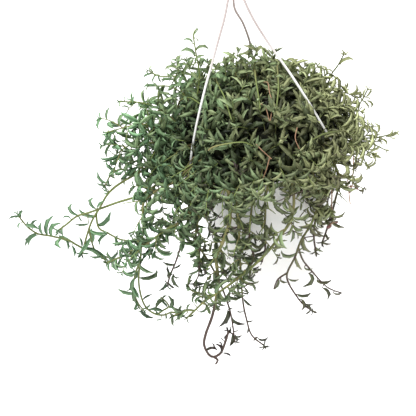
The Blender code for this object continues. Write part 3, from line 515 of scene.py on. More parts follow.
        (122.6, 124.4, 115.1, 125.6, 105.6, 124.7), (122.6, 123.9, 119.7, 122.1, 117.7, 119.9),
        (116.8, 130.2, 109.4, 132.5, 100.2, 135.1), (113.9, 135.4, 111.1, 141.7, 103.9, 143.7),
        (113.9, 132.5, 108.8, 135.9, 105.3, 141.1), (115.7, 135.9, 117.1, 140.5, 122, 141.4),
        (122.6, 123.3, 122, 121, 122, 118.7), (118, 124.4, 113.4, 123.3, 109.4, 122.1),
        (113.9, 129.6, 108.2, 132.5, 103, 131.6),
    ],
    "spray_left_e": [
        (111.6, 152.6, 109.4, 151.4, 106.8, 150), (111.6, 161.2, 109.4, 160, 107.1, 158.6),
        (111.6, 162.3, 108.8, 165.2, 106.5, 167.2), (112.2, 163.5, 110.5, 166.3, 108.8, 168.6),
        (116.8, 154.9, 118.5, 150.8, 121.1, 145.1), (115.1, 149.7, 116.5, 146.3, 115.4, 143.4),
        (114.5, 159.5, 116, 159.5, 116.5, 161.5), (126, 158.9, 122, 157.2, 120.3, 152.6),
    ],
    "spray_right_a": [
        (342.9, 55.4, 343.2, 52.1, 340.5, 49.4), (344.2, 54.7, 346.9, 52.7, 349.2, 50),
        (340.2, 64.8, 345.5, 59.1, 353.6, 60.4), (332.8, 74.8, 336.2, 77.5, 341.5, 79.5),
        (336.2, 78.2, 334.2, 79.5, 331.5, 80.9), (332.2, 72.2, 329.5, 70.1, 325.5, 70.1),
        (334.8, 84.2, 337.5, 84.5, 339.5, 85.5), (344.2, 55.4, 346.2, 55.1, 348.6, 55.7),
    ],
    "spray_right_b": [
        (348.2, 93.6, 356.9, 92.2, 355.6, 84.2), (342.9, 94.3, 348.2, 98.3, 352.2, 103.6),
        (356.9, 91.6, 358.9, 94.9, 360.3, 97.6), (363.6, 96.9, 364, 92.9, 367, 88.2),
        (365.6, 96.9, 369, 93.6, 371.3, 87.6), (365.6, 97.6, 369, 98.3, 371, 99.9),
        (363.6, 101.6, 366.3, 104, 368.3, 109), (366.3, 101, 371, 103.6, 370, 108.3),
        (359.6, 110.3, 361.6, 107.6, 363.6, 106.3), (356.3, 113.7, 355.6, 111, 353.6, 108.3),
        (352.9, 115.7, 350.2, 109, 342.9, 109.7), (357.6, 119, 355.3, 126.4, 351.6, 133.8),
        (363, 119.7, 364.3, 117, 362.3, 113.7), (341.5, 92.9, 337.5, 91.6, 335.2, 89.6),
        (331.5, 97.6, 336.2, 98.3, 341.5, 102.3), (376.4, 133.1, 378.4, 127.7, 374, 123.1),
    ],
    "spray_right_c": [
        (386.4, 136.5, 390.4, 133.8, 392.4, 129.1), (387.1, 136.8, 392.4, 133.8, 395.8, 130.1),
        (390.4, 136.5, 395.1, 134.4, 398.5, 131.8), (390.4, 137.1, 393.8, 138.1, 397.8, 137.1),
        (379.7, 139.1, 384.4, 140.5, 386.7, 145.8), (371, 132.4, 370.3, 128.4, 372.3, 125.1),
        (377, 135.8, 379, 134.4, 380.4, 135.1), (364.3, 136.5, 362.3, 133.8, 359.6, 132.4),
    ],
    "spray_right_d": [
        (369.2, 149, 376, 149, 379.9, 144.4), (366.1, 155.1, 369.2, 152.8, 373.8, 151.3),
        (367.6, 155.1, 370.7, 156.6, 374.1, 158.1), (358.5, 153.6, 360.4, 156.6, 363, 160.4),
        (361.5, 147.4, 358.5, 150.5, 356.9, 153.6), (353.9, 158.9, 356.2, 160.4, 358.5, 158.9),
        (367.6, 149, 368.4, 150.1, 369.2, 150.9),
    ],
    "spray_right_e": [
        (330.1, 189.5, 340.9, 194.1, 340.1, 181.9), (344.7, 163.5, 346.2, 168.9, 343.5, 175),
        (334, 166.6, 335.5, 170.4, 338.6, 171.2), (338.6, 158.1, 342.4, 161.2, 346.2, 163.5),
    ],
}


class Wire:
    """A shader value that takes part in plain arithmetic. Each operator adds the Math node for it."""

    def __init__(self, finish, socket):
        self.finish = finish
        self.socket = socket

    def maths(self, operation, first, second):
        return self.finish.node("ShaderNodeMath", {"operation": operation}, {0: first, 1: second})

    def __add__(self, other):
        return self.maths("ADD", self, other)

    def __radd__(self, other):
        return self.maths("ADD", other, self)

    def __sub__(self, other):
        return self.maths("SUBTRACT", self, other)

    def __rsub__(self, other):
        return self.maths("SUBTRACT", other, self)

    def __mul__(self, other):
        return self.maths("MULTIPLY", self, other)

    def __rmul__(self, other):
        return self.maths("MULTIPLY", other, self)

    def __pow__(self, other):
        return self.maths("POWER", self, other)

    def held(self):
        """The value kept between 0 and 1."""
        return self.finish.node("ShaderNodeClamp", {}, {"Value": self})


class Finish:
    """A material in the making: a Principled shader, and the nodes that vary it."""

    def __init__(self, name, **constants):
        self.material = bpy.data.materials.new(name)
        self.material.use_nodes = True
        self.tree = self.material.node_tree
        self.shader = self.tree.nodes["Principled BSDF"]
        self.set(**constants)
        self.place = self.node("ShaderNodeTexCoord", {}, {}, "Object")

    def join(self, socket, value):
        if isinstance(value, Wire):
            self.tree.links.new(value.socket, socket)
        else:
            socket.default_value = value

    def node(self, kind, settings, values, output=0):
        """Adds a node: its settings first, with a ramp's stops among them, then its sockets' values or links."""
        made = self.tree.nodes.new(kind)
        for name, value in settings.items():
            if name == "stops":
                for index, (position, colour) in enumerate(value):
                    spot = made.color_ramp.elements
                    stop = spot[index] if index < len(spot) else spot.new(position)
                    stop.position = position
                    stop.color = (*colour, 1)
            else:
                setattr(made, name, value)
        for name, value in values.items():
            self.join(made.inputs[name], value)
        return Wire(self, made.outputs[output])

    def set(self, **values):
        """Sets the shader's sockets, named with underscores for spaces."""
        for name, value in values.items():
            self.join(self.shader.inputs[name.replace("_", " ")], value)

    def grain(self, scale, detail=3, roughness=0.55):
        values = {"Vector": self.place, "Scale": scale, "Detail": detail, "Roughness": roughness}
        return self.node("ShaderNodeTexNoise", {}, values, "Fac")

    def reading(self, attribute, part):
        """One of the three numbers that a vector attribute holds."""
        vector = self.node("ShaderNodeAttribute", {"attribute_name": attribute}, {}, "Vector")
        return self.node("ShaderNodeSeparateXYZ", {}, {0: vector}, "XYZ".index(part))

    def blend(self, share, first, second, mode="MIX"):
        settings = {"data_type": "RGBA", "blend_type": mode}
        colours = [value if isinstance(value, Wire) else (*value, 1) for value in (first, second)]
        return self.node("ShaderNodeMix", settings, {0: share, 6: colours[0], 7: colours[1]}, 2)

    def bump(self, height, distance, strength=1.0):
        values = {"Height": height, "Distance": distance, "Strength": strength}
        self.set(Normal=self.node("ShaderNodeBump", {}, values, "Normal"))


def leaf_finish():
    """Waxy leaf: olive to blue-green with a dark midline, pale margins, and bronze when young; its lightness carries
    painted light and shade, and its blue-green partly a painted cool light.
    """
    finish = Finish("leaf_green", Metallic=0, Specular_IOR_Level=0.28)
    edge, along, middle = (finish.reading("mark", part) for part in "XYZ")
    tone_and_light, cool, young = (finish.reading("kind", part) for part in "XYZ")
    flesh = finish.blend(cool, (0.112, 0.121, 0.043), (0.043, 0.119, 0.052))
    mottle = finish.grain(420)
    fresh = finish.blend(cool, (0.205, 0.216, 0.095), (0.112, 0.216, 0.102))
    # The fresher green comes with random mottling, and a little more where the painted light is stronger.
    flesh = finish.blend((0.8 * mottle - 0.1 + 0.15 * tone_and_light).held(), flesh, fresh)
    flesh = finish.blend((middle**3 * 0.7).held(), flesh, (0.018, 0.036, 0.011))
    # Pale margins, stronger where the painted light is stronger.
    margin = (edge**1.6 * (1.0 - 0.6 * young) * (0.3 + 0.6 * tone_and_light)).held()
    flesh = finish.blend(margin, flesh, finish.blend(cool, (0.43, 0.47, 0.25), (0.28, 0.48, 0.26)))
    flesh = finish.blend((young * 0.85 * (0.4 + 0.6 * along)).held(), flesh, (0.045, 0.030, 0.028))
    # Lightness from the leaf's random tone together with its painted light and shade.
    light = 0.04 + 1.2 * tone_and_light
    grey = finish.node("ShaderNodeCombineColor", {}, {0: light, 1: light, 2: light})
    finish.set(Base_Color=finish.blend(1.0, flesh, grey, "MULTIPLY"), Roughness=0.40 + 0.22 * mottle)
    finish.bump(finish.grain(1500), 0.12 * MM, 0.5)
    return finish.material


def stem_finish():
    """Stem: olive when young, tan and striped when old, purple-brown at the hanging tips."""
    finish = Finish("stem_olive", Metallic=0, Specular_IOR_Level=0.3)
    along, dark, young = (finish.reading("kind", part) for part in "XYZ")
    streak = finish.grain(260, 5, 0.7)
    bark = finish.blend((streak * 1.5 - 0.3).held(), (0.17, 0.15, 0.05), (0.42, 0.35, 0.18))
    green = finish.blend((streak * 1.2 - 0.2).held(), (0.13, 0.19, 0.05), (0.26, 0.30, 0.10))
    colour = finish.blend((1.6 * along).held(), bark, green)
    colour = finish.blend(0.65 * dark, colour, (0.060, 0.066, 0.022))
    colour = finish.blend((young * (1.8 * along - 0.5).held()).held(), colour, (0.068, 0.043, 0.034))
    finish.set(Base_Color=colour, Roughness=0.5 + 0.25 * streak)
    finish.bump(streak, 0.25 * MM, 0.7)
    return finish.material


def stalk_finish():
    finish = Finish("stalk_brown", Metallic=0)
    streak = finish.grain(300, 4)
    finish.set(Base_Color=finish.blend(streak, (0.17, 0.085, 0.045), (0.46, 0.27, 0.16)), Roughness=0.62)
    finish.bump(streak, 0.2 * MM, 0.6)
    return finish.material


def bud_finish():
    finish = Finish("bud_plum", Metallic=0)
    finish.set(Base_Color=finish.blend(finish.grain(500), (0.10, 0.025, 0.030), (0.25, 0.09, 0.075)))
    finish.set(Roughness=0.45)
    return finish.material


def shade_core_finish():
    """Painted shade inside the mound: a near-black surface standing for where hardly any light gets."""
    finish = Finish("painted_shade_dark", Metallic=0, Roughness=1.0)
    patch = finish.grain(180, 6, 0.7)
    finish.set(Base_Color=finish.blend((patch * 1.6 - 0.4).held(), (0.004, 0.005, 0.003), (0.022, 0.026, 0.011)))
    finish.bump(patch, 3 * MM, 1.0)
    return finish.material


def plastic_finish(name, colour, shade, roughness, speckle):
    """Moulded plastic: a faint cloudiness, a fine skin texture, and a little dust."""
    finish = Finish(name, Metallic=0, Coat_Weight=0.1, Coat_Roughness=0.3)
    cloud = finish.grain(34, 3)
    dust = finish.grain(240, 6, 0.7)
    base = finish.blend((cloud * 2.4 - 0.7).held(), colour, shade)
    base = finish.blend(((dust - 0.58) * speckle).held(), base, (0.42, 0.37, 0.29))
    finish.set(Base_Color=base, Roughness=roughness + 0.2 * dust)
    finish.bump(finish.grain(900), 0.05 * MM, 0.35)
    return finish, base


def hanger_finish():
    """White plastic whose strands turn greyer and browner towards the top, with painted shade on the back of the
    moulding, the strand behind the mound most.
    """
    finish, base = plastic_finish("hanger_plastic", (0.95, 0.945, 0.93), (0.90, 0.89, 0.87), 0.30, 0.6)
    aside = finish.node("ShaderNodeSeparateXYZ", {}, {0: finish.place}, 1)
    height = finish.node("ShaderNodeSeparateXYZ", {}, {0: finish.place}, 2)
    # Greyer and browner towards the top.
    base = finish.blend(((height - RIM - 100 * MM) * 22).held(), base, (0.52, 0.45, 0.435))
    # Painted shade: everything behind the middle of the moulding, the strand behind the mound most, is greyer and
    # browner.
    base = finish.blend(((aside - 1 * MM) * 400).held(), base, (0.44, 0.36, 0.345))
    finish.set(Base_Color=base)
    return finish.material


def soil_finish():
    finish = Finish("soil_dark", Metallic=0)
    crumb = finish.node("ShaderNodeTexVoronoi", {}, {"Vector": finish.place, "Scale": 260}, "Distance")
    patch = finish.grain(120, 6, 0.7)
    finish.set(Base_Color=finish.blend((patch * 1.5 - 0.3).held(), (0.018, 0.012, 0.008), (0.085, 0.055, 0.035)))
    finish.set(Roughness=0.95)
    finish.bump(patch - crumb, 2.5 * MM, 1.0)
    return finish.material


def floor_finish():
    finish = Finish("floor_pale", Metallic=0, Roughness=0.8)
    finish.set(Base_Color=(0.93, 0.93, 0.925, 1))
    return finish.material


LEAF = leaf_finish()
STEM = stem_finish()
STALK = stalk_finish()
BUD = bud_finish()
SHADE_CORE = shade_core_finish()
POT_PLASTIC = plastic_finish("pot_plastic", (0.88, 0.895, 0.89), (0.93, 0.905, 0.87), 0.38, 1.2)[0].material
HANGER_PLASTIC = hanger_finish()
SOIL = soil_finish()
FLOOR = floor_finish()


def from_rim(x, y, height):
    return Vector((x * MM, y * MM, height * MM + RIM))


def around(degrees, radius, height):
    """A point at an angle about the pot's axis. Radius and height above the rim are in metres."""
    turn = math.radians(degrees)
    return Vector((radius * math.cos(turn), radius * math.sin(turn), height + RIM))


def smooth_route(points, step):
    """Points about one step apart on a Catmull-Rom curve through the given ones."""
    padded = [2 * points[0] - points[1], *points, 2 * points[-1] - points[-2]]
    route = [points[0].copy()]
    for before, start, end, after in zip(padded, padded[1:], padded[2:], padded[3:]):
        pieces = max(1, round((end - start).length / step))
        for piece in range(1, pieces + 1):
            t = piece / pieces
            linear = 2 * start + (end - before) * t
            bowed = (2 * before - 5 * start + 4 * end - after) * t * t
            route.append(0.5 * (linear + bowed + (3 * start - before - 3 * end + after) * t**3))
    return route


def frames_along(route):
    """(point, direction, side, distance) at each point, with the side turning as little as it can."""
    side, distance, frames = None, 0.0, []
    for index, point in enumerate(route):
        ahead = route[min(index + 1, len(route) - 1)] - route[max(index - 1, 0)]
        direction = ahead.normalized()
        if side is None:
            side = direction.orthogonal().normalized()
        side = (side - direction * side.dot(direction)).normalized()
        if index:
            distance += (point - route[index - 1]).length
        frames.append((point, direction, side, distance))
    return frames


def wave(place, size):
    """Smooth noise between -1 and 1 about a given size across."""
    return noise.noise(place / size)


# Rings of the leaf between root and tip: share of the length, width and depth as shares of the largest,
# and how much of the fin stands there
LEAF_RINGS = [
    (0.05, 0.30, 0.42, 0), (0.18, 0.72, 0.80, 0), (0.36, 0.98, 1.0, 0), (0.54, 1.0, 0.95, 0),
    (0.64, 1.05, 0.86, 1), (0.71, 0.70, 0.68, 0), (0.87, 0.42, 0.44, 0),
]
# Points of the leaf's section as it is seen from the tip: across, up, and how much of a margin each is
LEAF_SECTION = [(0.5, 0.04, 1.0), (0.0, 0.18, 0.0), (-0.5, 0.04, 1.0), (0.0, -0.60, 0.1)]
# Where a leaf's quarters lie, ahead of its root and to the side that it bends to, as shares of its length
LEAF_QUARTERS = [(0.25, 0.04), (0.47, 0.16), (0.64, 0.34), (0.74, 0.56)]


def leaf_template(degrees):
    """A leaf that runs out along +Z, curves towards +Y and has its fin on the far side, one leaf length long."""
    bm = bmesh.new()
    mark = bm.verts.layers.float_vector.new("mark")
    ring = bmesh.ops.create_circle(bm, segments=len(LEAF_SECTION), radius=1)["verts"]
    edges = [edge for edge in bm.edges]
    rings = []
    for index, (share, width, depth, fin) in enumerate(LEAF_RINGS):
        if index:
            grown = bmesh.ops.extrude_edge_only(bm, edges=edges)["geom"]
            fresh = [part for part in grown if isinstance(part, bmesh.types.BMVert)]
            edges = [part for part in grown if isinstance(part, bmesh.types.BMEdge) and all(v in fresh for v in part.verts)]
            ring = [next(e.other_vert(old) for e in old.link_edges if e.other_vert(old) in fresh) for old in ring]
        for vert, (across, up, margin) in zip(ring, LEAF_SECTION):
            keel = up < -0.3
            vert.co = Vector((
                across * LEAF_WIDTH * width,
                up * LEAF_DEPTH * depth - (LEAF_FIN * fin if keel else 0),
                share * LEAF_LENGTH,
            ))
            vert[mark] = Vector((margin, share, 1 - margin))
        rings.append(ring)
    for ring, place, share in ((rings[0], 0, 0.0), (rings[-1], LEAF_LENGTH, 1.0)):
        end = bm.verts.new((0, 0, place))
        end[mark] = Vector((0.3, share, 0))
        for first, second in zip(ring, ring[1:] + ring[:1]):
            bm.faces.new((first, second, end))
    turn = math.radians(degrees)
    reach = LEAF_LENGTH / turn
    for vert in bm.verts:
        angle = turn * vert.co.z / LEAF_LENGTH
        arm = reach - vert.co.y
        vert.co = Vector((vert.co.x, reach - arm * math.cos(angle), arm * math.sin(angle)))
    bmesh.ops.recalc_face_normals(bm, faces=bm.faces)
    mesh = bpy.data.meshes.new(f"leaf_{degrees}")
    bm.to_mesh(mesh)
    bm.free()
    mesh.shade_smooth()
    mesh.attributes.new("kind", "FLOAT_VECTOR", "POINT")
    return mesh


LEAVES = [leaf_template(degrees) for degrees in LEAF_TURNS]


TOWARDS_VIEW = Vector((0, -math.cos(VIEW_ELEVATION), math.sin(VIEW_ELEVATION)))


def view_matrix():
    """The camera's place and turn, with the rim's centre on its pixel."""
    right = Vector((1, 0, 0))
    up = TOWARDS_VIEW.cross(right)
    rolled_right = math.cos(VIEW_ROLL) * right + math.sin(VIEW_ROLL) * up
    rolled_up = -math.sin(VIEW_ROLL) * right + math.cos(VIEW_ROLL) * up
    level = Matrix((rolled_right, rolled_up, TOWARDS_VIEW)).transposed()
    half = PICTURE / 2
    aim = Vector((RIM_CENTRE_PIXEL[0] - half, half - RIM_CENTRE_PIXEL[1], -FOCAL_PIXELS)).normalized()
    offset = Vector((0, 0, -1)).rotation_difference(aim).to_matrix()
    place = TOWARDS_VIEW * VIEW_DISTANCE + Vector((0, 0, RIM))
    return Matrix.Translation(place) @ (level @ offset.transposed()).to_4x4()


INTO_VIEW = view_matrix().inverted()


def line_of_sight(across, down):
    """Which way a pixel of the photograph looks from the camera."""
    half = PICTURE / 2
    ray = Vector(((across - half) / FOCAL_PIXELS, (half - down) / FOCAL_PIXELS, -1))
    return (view_matrix().to_3x3() @ ray).normalized()


def picture_spot(across, down, depth):
    """The place that shows at a pixel of the photograph, where the line of sight meets a depth."""
    sight = line_of_sight(across, down)
    start = view_matrix().translation
    return start + sight * ((depth - start.y) / sight.y)


def in_window(place):
    """Whether a place lies in one of the gaps through which the photograph shows the pot or the background."""
    seen = INTO_VIEW @ place
    across = PICTURE / 2 - FOCAL_PIXELS * seen.x / seen.z
    down = PICTURE / 2 + FOCAL_PIXELS * seen.y / seen.z
    return any(math.hypot(across - x, down - y) < radius for x, y, radius in WINDOWS)


def strand_points(angle):
    """The route of one strand, from under the hook to the flange."""
    bends = BEND if angle == BENT_STRAND else [0] * len(BEND)
    points = []
    for (radius, height), bend in zip(STRANDS[angle], bends):
        points.append(around(angle, radius * MM, height * MM) + Vector((bend * MM, 0, 0)))
    return points


SEEN_STRANDS = smooth_route(strand_points(210)[3:], 3 * MM) + smooth_route(strand_points(330)[3:8], 3 * MM)


def before_strand(place, room):
    """Whether a place is on or in front of one of the two strands that lie over the mound."""
    for strand in SEEN_STRANDS:
        offset = place - strand
        ahead = offset.dot(TOWARDS_VIEW)
        if ahead > -4 * MM and (offset - ahead * TOWARDS_VIEW).length < room:
            return True
    return False


HOLLOW_PLACES = [(Vector((x * MM, y * MM, z * MM + RIM)), size * MM) for x, y, z, size in HOLLOWS]


def in_hollow(place):
    return any((place - hollow).length < size for hollow, size in HOLLOW_PLACES)


def inside_pot(place):
    """Whether a place is in the pot's wall or flange, or in the space that they hold."""
    height = place.z - RIM
    if height > 0.5 * MM or height < -POT_HEIGHT:
        return False
    wall = WALL_TOP_RADIUS + (WALL_TOP_RADIUS - BASE_RADIUS) * height / POT_HEIGHT
    radius = math.hypot(place.x, place.y)
    return radius < (FLANGE_RADIUS if height > -9 * MM else wall) + 0.6 * MM


def held(value):
    """A value kept between 0 and 1."""
    return min(max(value, 0), 1)


class Foliage:
    """A leafy piece in the making: its stems, in one curve, and its leaves, copied from the templates."""

    def __init__(self, name, curls=CURLIER, broad=1.0):
        self.name = name
        self.draw = random.Random(name)
        self.templates = [LEAVES[curl] for curl in curls]
        self.broad = broad
        self.curve = bpy.data.curves.new(name, "CURVE")
        self.curve.dimensions = "3D"
        self.curve.bevel_depth = 1
        self.curve.bevel_resolution = 2
        self.curve.use_fill_caps = True
        self.stem_kinds = []
        self.bm = bmesh.new()
        self.leaf_count = 0

    def kind(self, place, young, bright):
        """What the leaf finish reads: how bright a leaf is, with painted light and shade in it, how blue-green and how
        young.
        """
        height = (place.z - RIM) / MM
        # Blue-green at random, and more so towards the left: partly the leaves' own colour, partly a painted cool light
        # there.
        cool = 0.25 - place.x / 0.26 + self.draw.uniform(-0.25, 0.25)
        # Painted light: leaves lighter towards the right and the top, with painted shade on the lowest ones; bright,
        # where under 1, brings painted shade deep in the mound.
        painted_light = 1 + 0.35 * held((place.x / MM - 30) / 70) + 0.3 * held((height - 40) / 40) - 0.2 * held((-70 - height) / 100)
        return Vector((bright * painted_light * self.draw.uniform(0.5, 1), held(cool), young))

    def stem(self, route, radius, shrink=0.55, young=0.0, fresh=0.0):
        """A stem along a route; fresh is how far up its parent's green part it starts."""
        spline = self.curve.splines.new("POLY")
        spline.points.add(len(route) - 1)
        last = len(route) - 1
        for index, (point, place) in enumerate(zip(spline.points, route)):
            share = index / last
            knobs = 1 + 0.10 * wave(place, 7 * MM)
            point.co = (*place, 1)
            point.radius = radius * (1 + (shrink - 1) * share) * knobs
            dark = held(0.25 + place.x / (120 * MM))
            self.stem_kinds.append((place, (fresh + (1 - fresh) * share, dark, young)))

    def place_is_free(self, place):
        return not (inside_pot(place) or in_hollow(place) or in_window(place) or before_strand(place, 4 * MM))

    def leaf(self, root, start, bend, size, young=0.0, bright=1.0):
        side = bend.cross(start).normalized()
        bend = start.cross(side)
        spots = [root + size * LEAF_LENGTH * (ahead * start + aside * bend) for ahead, aside in LEAF_QUARTERS]
        if not all(self.place_is_free(spot) for spot in spots):
            return False
        self.place_leaf(self.draw.choice(self.templates), root, start, bend, size, young, bright)
        return True

    def place_leaf(self, template, root, start, bend, size, young, bright):
        side = bend.cross(start).normalized()
        copy = template.copy()
        kind = self.kind(root, young, bright)
        copy.attributes["kind"].data.foreach_set("vector", list(kind) * len(copy.vertices))
        turn = Matrix((side, bend, start)).transposed().to_4x4()
        wide = Matrix.Diagonal((size * self.broad * self.draw.uniform(0.85, 1.15), size, size, 1))
        copy.transform(Matrix.Translation(root) @ turn @ wide)
        self.bm.from_mesh(copy)
        bpy.data.meshes.remove(copy)
        self.leaf_count += 1

    def stem_behind(self, across, down):
        """The point of the stems so far that shows nearest to a pixel of the photograph."""
        sight = line_of_sight(across, down)
        start = view_matrix().translation
        return min((place for place, _ in self.stem_kinds), key=lambda place: (place - start).cross(sight).length)

    def seen_leaves(self, young):
        """The leaves that stand out in the photograph, each on the stem that it shows on."""
        for row in SEEN_LEAVES.get(self.name, []):
            foot = self.stem_behind(*row[:2])
            root, middle, tip = (picture_spot(*row[index:index + 2], foot.y) for index in (0, 2, 4))
            if (root - foot).length > 0.8 * MM:
                self.stem([foot, foot.lerp(root, 0.5), root], 0.7 * MM, 0.8, young, fresh=0.8)
            chord = tip - root
            length = chord.length
            ahead = chord.normalized()
            bulge = middle - (root + tip) / 2
            bulge = bulge - ahead * bulge.dot(ahead)
            turn = 4 * math.atan(2 * bulge.length / length)
            inward = -bulge.normalized() if bulge.length > 0.1 * MM else ahead.orthogonal().normalized()
            roll = math.radians(self.draw.uniform(-14, 14))
            inward = inward * math.cos(roll) + ahead.cross(inward) * math.sin(roll)
            curl = min(range(len(LEAF_TURNS)), key=lambda index: abs(math.radians(LEAF_TURNS[index]) - turn))
            half = math.radians(LEAF_TURNS[curl]) / 2
            start = ahead * math.cos(half) - inward * math.sin(half)
            bend = ahead * math.sin(half) + inward * math.cos(half)
            reach = LEAF_LENGTH * math.sin(half) / half
            lower = min(max((RIM - 60 * MM - root.z) / (130 * MM), 0.15), 1)
            self.place_leaf(LEAVES[curl], root, start, bend, min(length / reach, 1.5), young * lower, 0.85)

    def clothe(self, route, begin, pitch, size, young=0.0, tuft=5, end=None, painted_shade_length=0):
        """Leaves in a spiral along a stem, smaller towards its tip, and a tuft of tiny ones at the end."""
        frames = frames_along(route)
        length = frames[-1][3]
        due, turn = begin, self.draw.uniform(0, math.tau)
        for (start, direction, side, travelled), (stop, _, _, reached) in zip(frames, frames[1:]):
            while due < reached and (end is None or due < end):
                point = start.lerp(stop, (due - travelled) / max(reached - travelled, 1e-9))
                share = due / length
                splay = math.radians(self.draw.uniform(32, 68))
                for attempt in range(3):
                    out = side * math.cos(turn) + direction.cross(side) * math.sin(turn)
                    heading = direction * math.cos(splay) + out * math.sin(splay)
                    bend = out * math.cos(splay) - direction * math.sin(splay) + 0.35 * UP
                    shorter = size * (1 - 0.4 * share**3) * self.draw.uniform(0.72, 1.08)
                    # Painted shade: leaves near the foot of a shoot, deep in the mound, are darker.
                    bright = min(1, due / painted_shade_length) ** 1.5 if painted_shade_length else 1
                    if self.leaf(point, heading, bend, shorter, young * share**2, bright):
                        break
                    turn += math.tau / 3
                turn += GOLDEN_ANGLE
                due += pitch * self.draw.uniform(0.7, 1.3)
        point, direction, side, _ = frames[-1]
        for index in range(tuft):
            turn += GOLDEN_ANGLE
            out = side * math.cos(turn) + direction.cross(side) * math.sin(turn)
            splay = math.radians(12 + 9 * index)
            heading = direction * math.cos(splay) + out * math.sin(splay)
            bend = out * math.cos(splay) - direction * math.sin(splay)
            self.leaf(point - direction * index * 1.1 * MM, heading, bend, size * (0.22 + 0.07 * index), young)

    def branch(self, route, begin, end, spacing, lengths, lift, size, young=0.0):
        """Short side shoots along a stem, each with its own leaves."""
        frames = frames_along(route)
        due, turn = begin, self.draw.uniform(0, math.tau)
        for point, direction, side, travelled in frames:
            if travelled < due or travelled > end:
                continue
            due += spacing * self.draw.uniform(0.7, 1.3)
            turn += GOLDEN_ANGLE
            out = side * math.cos(turn) + direction.cross(side) * math.sin(turn)
            length = self.draw.uniform(*lengths) * MM
            twig = self.shoot(point, 0.6 * direction + out, length, lift)
            self.clothe(smooth_route(twig, STEP), 4 * MM, 5 * MM, size, young, tuft=4)

    def shoot(self, base, heading, length, lift, radius=SHOOT_RADIUS, wander=0.25):
        """A free stem that starts out along its heading and bends up (lift over 0) or hangs (under 0)."""
        step = 6 * MM
        place, route = base.copy(), [base.copy()]
        heading = heading.normalized()
        for _ in range(max(3, round(length / step))):
            drift = Vector([self.draw.uniform(-1, 1) for _ in range(3)])
            heading = (heading + lift * UP * step / (20 * MM) + wander * drift * 0.5).normalized()
            place = place + heading * step
            if inside_pot(place) or (place.z < RIM + 6 * MM and math.hypot(place.x, place.y) < FLANGE_RADIUS + 5 * MM):
                flat = Vector((place.x, place.y, 0)).normalized()
                wanted = FLANGE_RADIUS + 6 * MM
                place = flat * max(wanted, math.hypot(place.x, place.y)) + UP * place.z
            route.append(place.copy())
        self.stem(smooth_route(route, 4 * MM), radius)
        return route

    def finish(self, *nodes):
        """The piece itself, with its leaves in the first material and its stems in the second."""
        holder = bpy.data.objects.new(self.name, self.curve)
        stems = bpy.data.meshes.new_from_object(holder)
        bpy.data.objects.remove(holder)
        bpy.data.curves.remove(self.curve)
        if stems is not None and len(stems.vertices):
            stems.shade_smooth()
            finder = kdtree.KDTree(len(self.stem_kinds))
            for index, (place, _) in enumerate(self.stem_kinds):
                finder.insert(place, index)
            finder.balance()
            stems.attributes.new("mark", "FLOAT_VECTOR", "POINT")
            kinds = stems.attributes.new("kind", "FLOAT_VECTOR", "POINT")
            for vert, value in zip(stems.vertices, kinds.data):
                value.vector = self.stem_kinds[finder.find(vert.co)[1]][1]
            stems.materials.clear()
            stems.materials.append(STEM)
            stems.materials.append(STEM)
            for polygon in stems.polygons:
                polygon.material_index = 1
            self.bm.from_mesh(stems)
            bpy.data.meshes.remove(stems)
        mesh = bpy.data.meshes.new(self.name)
        self.bm.to_mesh(mesh)
        self.bm.free()
        mesh.materials.append(LEAF)
        mesh.materials.append(STEM)
        piece = bpy.data.objects.new(self.name + "_leafy", mesh)
        bpy.context.scene.collection.objects.link(piece)
        dressed(piece, "leaf", *nodes)
        print(self.name, self.leaf_count, "leaves", len(mesh.polygons), "faces")
        return piece


def dressed(piece, slot, *nodes):
    """Puts a finished piece in the place of its nodes."""
    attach(piece, "root")
    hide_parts(*nodes)
    return piece


def add_piece(name, bm, finish, slot, *nodes, sharp=35):
    bmesh.ops.recalc_face_normals(bm, faces=bm.faces)
    mesh = bpy.data.meshes.new(name)
    bm.to_mesh(mesh)
    bm.free()
    mesh.materials.append(finish)
    mesh.shade_smooth()
    mesh.set_sharp_from_angle(angle=math.radians(sharp))
    piece = bpy.data.objects.new(name, mesh)
    bpy.context.scene.collection.objects.link(piece)
    return dressed(piece, slot, *nodes)


def rooted(angle, points, over_rim=True):
    """A stem's points with its root in the soil and, if it crosses the rim at once, the arch over it."""
    start = [around(angle, ROOT_CIRCLE, -SOIL_BELOW_RIM - 8 * MM)]
    if over_rim:
        start += [around(angle, ROOT_CIRCLE + MM, MM), around(angle, WALL_TOP_RADIUS, 9 * MM)]
        start.append(around(angle, FLANGE_RADIUS - 2 * MM, 10 * MM))
    else:
        start.append(around(angle, ROOT_CIRCLE + MM, 4 * MM))
    return start + [from_rim(*point) for point in points]


STEP = 4 * MM


def make_trails():
    for name, trail in TRAILS.items():
        growth = Foliage(name)
        young = trail.get("young", 0.35 if "left" in name else 1.2)
        size, pitch = trail["leaf"], trail.get("pitch", 7) * MM
        thick = trail.get("thick", 1.1)
        route = smooth_route(rooted(trail["angle"], trail["route"]), STEP)
        growth.stem(route, thick * STEM_RADIUS, 0.7, young)
        growth.clothe(route, 18 * MM, pitch, size, young, end=trail["until"] * MM)
        for begin, end, spacing, lengths, lift in trail["branches"]:
            growth.branch(route, begin * MM, end * MM, spacing * MM, lengths, lift, 0.9 * size, young)
        for fork, fork_pitch in trail.get("forks", []):
            route = smooth_route([from_rim(*point) for point in fork], STEP)
            growth.stem(route, thick * FORK_RADIUS, 0.7, young, fresh=0.6)
            if fork_pitch:
                growth.clothe(route, 8 * MM, fork_pitch * MM, 0.95 * size, young)
        growth.seen_leaves(young)
        growth.finish(name)


# How far along each spray leaves grow at random, in mm, where it isn't 70
WILD_LENGTHS = {"spray_upright": 100, "spray_left_c": 90, "spray_left_d": 90, "spray_left_e": 90, "spray_right_a": 60}
